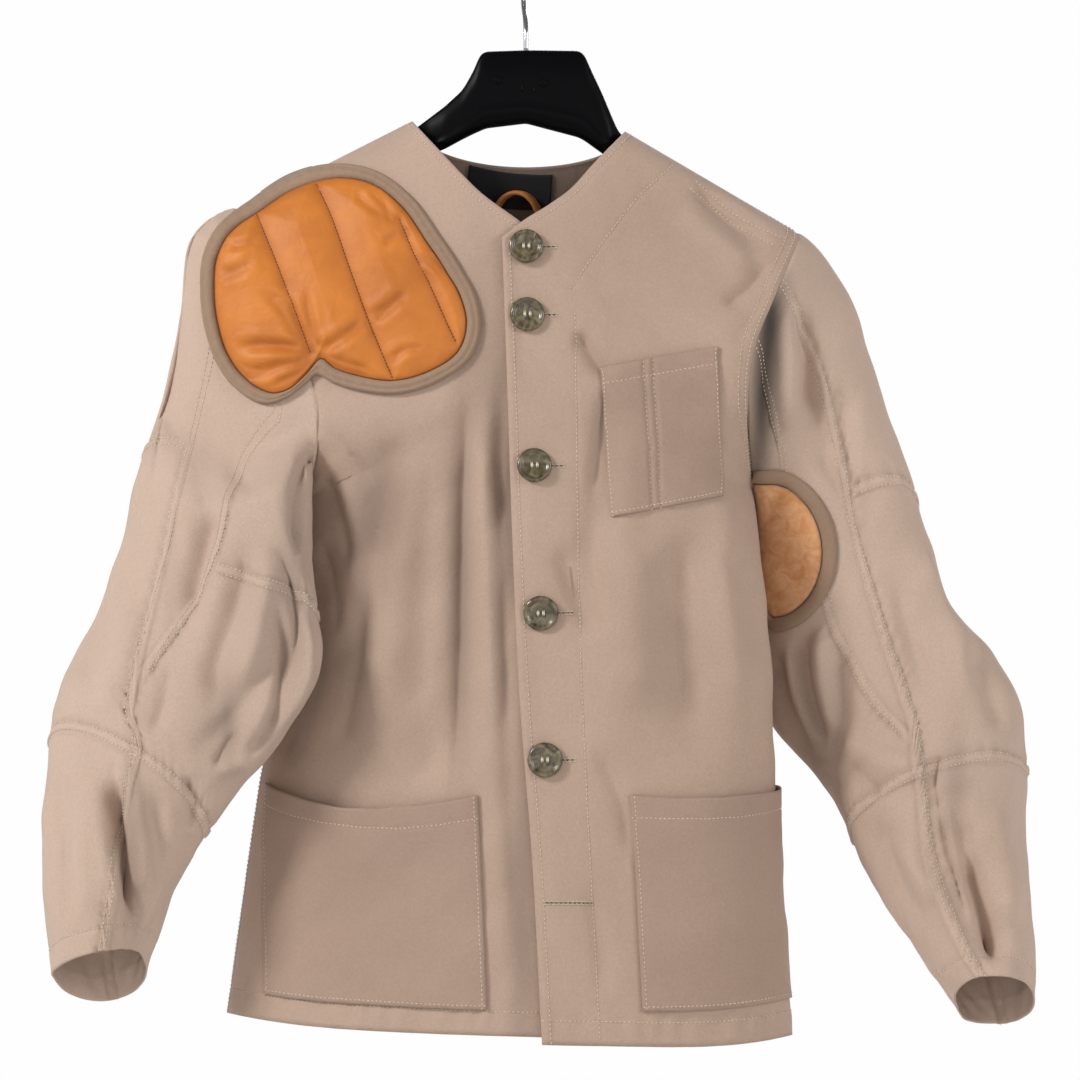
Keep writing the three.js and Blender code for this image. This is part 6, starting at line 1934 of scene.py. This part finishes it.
# Bosses and slots on the block: middles as seen, and a boss's radius
BOSSES = [(-21, -93.8, 2.9), (12.3, -95.9, 2.9)]
SLOTS = [(-2.9, -98.8), (5.8, -99.6)]


def build_hanger():
    """The moulded body: its stations joined smoothly, a rib along its lower edge, bosses and slots."""
    x = np.linspace(HANGER["at"][0], HANGER["at"][-1], 360)
    top, low, half = (np.interp(x, HANGER["at"], HANGER[name]) for name in ("top", "low", "half"))
    kernel = np.exp(-(np.arange(-4, 5) / 2.0) ** 2)
    kernel = kernel / kernel.sum()
    lines = (np.pad(line, 4, mode="edge") for line in (top, low, half))
    top, low, half = (np.convolve(line, kernel, mode="valid") for line in lines)
    turn = full_turn(HANGER_SIDES)[None, :]
    share = 0.5 + 0.5 * np.sign(np.cos(turn)) * np.abs(np.cos(turn))
    z = mix(low[:, None], top[:, None], share)
    dish = 1 - 0.22 * smooth((share - 0.2) / 0.12) * smooth((1.02 - share) / 0.15)
    y = half[:, None] * power(np.sin(turn), 2.6) * dish
    rings = place(points(x[:, None] + 0 * z, y, z))
    pts, faces = lathe(rings, rings[0].mean(axis=0), rings[-1].mean(axis=0))
    make_piece("hanger_moulding", pts, faces, "moulding", "moulding", ["hanger"])
    parts = []
    for bx, bz, radius in BOSSES:
        parts.append(stud(bx, bz, radius, radius))
    for sx, sz in SLOTS:
        parts.append(stud(sx, sz, 0.7, 2.6))
    make_piece("hanger_bosses", *joined(parts), "moulding", "moulding")


def stud(x, z, wide, high):
    """A low rounded stud standing on the front face of the hanger's block."""
    turn = full_turn(24)[None, :]
    share = np.array([1, 1, 0.9, 0.7, 0.4])[:, None]
    proud = np.array([-1.5, 0.3, 0.7, 0.5, 0.3])[:, None]
    y = HANGER_FACE - proud + 0 * turn
    rings = place(points(x + wide * share * np.cos(turn), y, z + high * share * np.sin(turn)))
    return lathe(rings, rings[0].mean(axis=0), rings[-1].mean(axis=0))


# Wire and bow radius, turn of the bow from the hanger in degrees, and the stem as seen along the bow
WIRE_R, HOOK_R, HOOK_TURN = 1.9, 24.4, 95
HOOK_STEM = [(0, -71.7), (0, -64), (1, -57), (5, -49.5)]


def build_hook():
    """Bent wire: a round section carried along the stem and the bow, its end rounded."""
    turn = np.radians(np.linspace(-60, 196, 21))
    bow = np.stack([HOOK_R * np.cos(turn), WIRE_R - HOOK_R + HOOK_R * np.sin(turn)], axis=1)
    path = soft_path(np.concatenate([HOOK_STEM, bow]), 8)
    across = np.radians(HOOK_TURN)
    line = points(path[:, 0] * np.cos(across), path[:, 0] * np.sin(across), path[:, 1])
    ways = unit(np.gradient(line, axis=0))
    side = np.broadcast_to([-np.sin(across), np.cos(across), 0], line.shape)
    up = np.cross(ways, side)
    turn = full_turn(20)[None, :, None]
    taper = np.ones(len(line))
    taper[[-1, -2]] = 0.55, 0.9
    radius = (WIRE_R * taper)[:, None, None]
    rings = line[:, None] + radius * (side[:, None] * np.cos(turn) + up[:, None] * np.sin(turn))
    pts, faces = lathe(rings, line[0], line[-1])
    make_piece("hook_wire", pts, faces, "wire", "wire", ["hook"])


# Stage
def build_stage():
    """Pale floor well below the jacket, a pale world, soft lights and the camera."""
    turn = full_turn(FLOOR_SIDES)
    settings = bpy.context.scene.jacket
    mesh = bpy.data.meshes.new("floor")
    floor = points(3.2 * np.cos(turn), 3.2 * np.sin(turn), -settings.floor_below + 0 * turn)
    mesh.from_pydata(floor, [], [list(range(FLOOR_SIDES))])
    floor_object = add_object("floor", mesh)
    mesh.materials.append(plain("floor_paint", "#f1f0ee", (0.8, 0.9), 40, 0.2))
    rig.stage(floor_object)
    build_world(settings)
    for name, at, size, watts, aim in LIGHTS:
        lamp = bpy.data.lights.new(name, "AREA")
        lamp.energy, lamp.size = watts, size
        light = add_object(name, lamp)
        light.location, light.rotation_euler = at, look(at, aim)
    bpy.context.scene.view_settings.view_transform = "Standard"
    camera = bpy.data.cameras.new("camera")
    camera.angle = 2 * math.atan(VIEW_WIDTH / 2 / -EYE["y"])
    camera.clip_end = 60
    camera_object = add_object("camera", camera)
    camera_object.location = (0.01015, EYE["y"] / METRE, -0.42725)
    camera_object.rotation_euler = (math.pi / 2, 0, 0)
    bpy.context.scene.camera = camera_object


def build_world(settings):
    """A pale studio: white in a band round the horizon, and dimmer above and below it."""
    world = bpy.data.worlds.new("studio")
    bpy.context.scene.world = world
    world.use_nodes = True
    tree = world.node_tree
    tree.nodes.clear()
    way = add_node(tree, "TexCoord")
    split = add_node(tree, "SeparateXYZ", {0: way.outputs["Generated"]})
    height = add_node(tree, "Math", {0: split.outputs[2]}, operation="ABSOLUTE")
    band = add_node(
        tree, "MapRange",
        {0: height.outputs[0], 1: 0.16, 2: 0.5, 3: settings.horizon_light, 4: settings.world_light},
    )
    glow = add_node(tree, "Background", {"Color": (1, 1, 1, 1), "Strength": band.outputs[0]})
    add_node(tree, "OutputWorld", {"Surface": glow.outputs[0]})


FLOOR_SIDES = 64
# Lamps: name, place, size in metres, watts and what they look at
LIGHTS = [
    ("key_light", (-2.1, -1.5, 1.0), 0.6, 58, (0, 0, -0.45)),
    ("fill_light", (2.3, -1.5, 0.4), 1.2, 22, (0, 0, -0.45)),
    ("back_light", (0.4, 2.4, 0.8), 1.6, 26, (0, 0, -0.45)),
]


def look(at, aim):
    """Angles that turn a lamp, which shines down its own Z, from a place to an aim."""
    dx, dy, dz = (b - a for a, b in zip(at, aim))
    return math.atan2(math.hypot(dx, dy), -dz), 0.0, math.atan2(dy, dx) - math.pi / 2


# Settings, operators and panel
def colour_setting(name, text, colour):
    """A colour that a user can change, from an sRGB hex colour."""
    return FloatVectorProperty(
        name=name, description=text, default=linear(colour), size=4, min=0, max=1, subtype="COLOR",
    )


def length_setting(name, text, default, least, most):
    """A length that a user can change, in metres."""
    return FloatProperty(name=name, description=text, default=default, min=least, max=most, unit="LENGTH")


class JacketSettings(bpy.types.PropertyGroup):
    """Sizes, lights and colours that a user can change."""

    cloth_wall: length_setting("Cloth wall", "Thickness of the finished cloth", 0.0012, 0.0006, 0.0016)
    stitch_pitch: length_setting("Stitch pitch", "Distance between stitches", 0.0032, 0.002, 0.006)
    floor_below: length_setting("Floor below hook", "How far the floor lies below the rail", 1.7, 1, 3)
    world_light: FloatProperty(name="World light", description="Light from above and below", default=0.2)
    horizon_light: FloatProperty(name="Horizon light", description="Light from all round", default=0.99)
    cloth_colour: colour_setting("Cloth", "Cotton of the fronts and back", "#bda391")
    # The sleeves' colour is the cloth's, painted paler for the light that falls on them
    sleeve_colour: colour_setting("Sleeves", "Cotton of the sleeves, painted paler for the light on them", "#c6ad9c")
    pocket_colour: colour_setting("Pockets", "Cotton of the patch pockets", "#af9584")
    tape_colour: colour_setting("Binding", "Cloth tape round the pad and patch", "#9d836d")
    leather_colour: colour_setting("Pad", "Leather of the recoil pad", "#ce7c33")
    strap_colour: colour_setting("Loop", "Leather of the hanging loop", "#d98b4c")
    suede_colour: colour_setting("Patch", "Suede of the elbow patch", "#dba679")


def operator(builder):
    """An operator class that builds one group of pieces, named and described by its function."""
    name = builder.__name__.removeprefix("build_")

    def execute(self, context):
        builder()
        return {"FINISHED"}

    return type(f"JACKET_OT_{name}", (bpy.types.Operator,), {
        "bl_idname": f"jacket.{name}", "bl_label": name.replace("_", " ").capitalize(),
        "__doc__": builder.__doc__, "execute": execute,
    })


OPERATORS = [operator(builder) for builder in (
    build_stage, build_fronts, build_back, build_sleeves, build_pockets, build_pad, build_binding,
    build_elbow_patch, build_label, build_loop, build_buttons, build_stitching, build_pocket_stitching,
    build_buttonholes, build_hanger, build_hook,
)]


class JACKET_PT_panel(bpy.types.Panel):
    """The settings and one button for each group of pieces."""

    bl_label = "Shooting jacket"
    bl_idname = "JACKET_PT_panel"
    bl_space_type = "VIEW_3D"
    bl_region_type = "UI"
    bl_category = "Jacket"

    def draw(self, context):
        for name in JacketSettings.__annotations__:
            self.layout.prop(context.scene.jacket, name)
        for made in OPERATORS:
            self.layout.operator(made.bl_idname)


CLASSES = [JacketSettings, *OPERATORS, JACKET_PT_panel]


def register():
    """Registers the classes and puts the settings on the scene."""
    for made in CLASSES:
        bpy.utils.register_class(made)
    bpy.types.Scene.jacket = PointerProperty(type=JacketSettings)


def unregister():
    """Takes the settings and classes away again."""
    del bpy.types.Scene.jacket
    for made in reversed(CLASSES):
        bpy.utils.unregister_class(made)


def main():
    """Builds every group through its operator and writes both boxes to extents.json."""
    register()
    for made in OPERATORS:
        group, name = made.bl_idname.split(".")
        getattr(getattr(bpy.ops, group), name)()
    boxes = [[list(map(float, corner)) for corner in box] for box in (CAD_BOX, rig.bounds())]
    with open("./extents.json", "w") as file:
        json.dump(boxes, file)


if __name__ == "__main__":
    main()
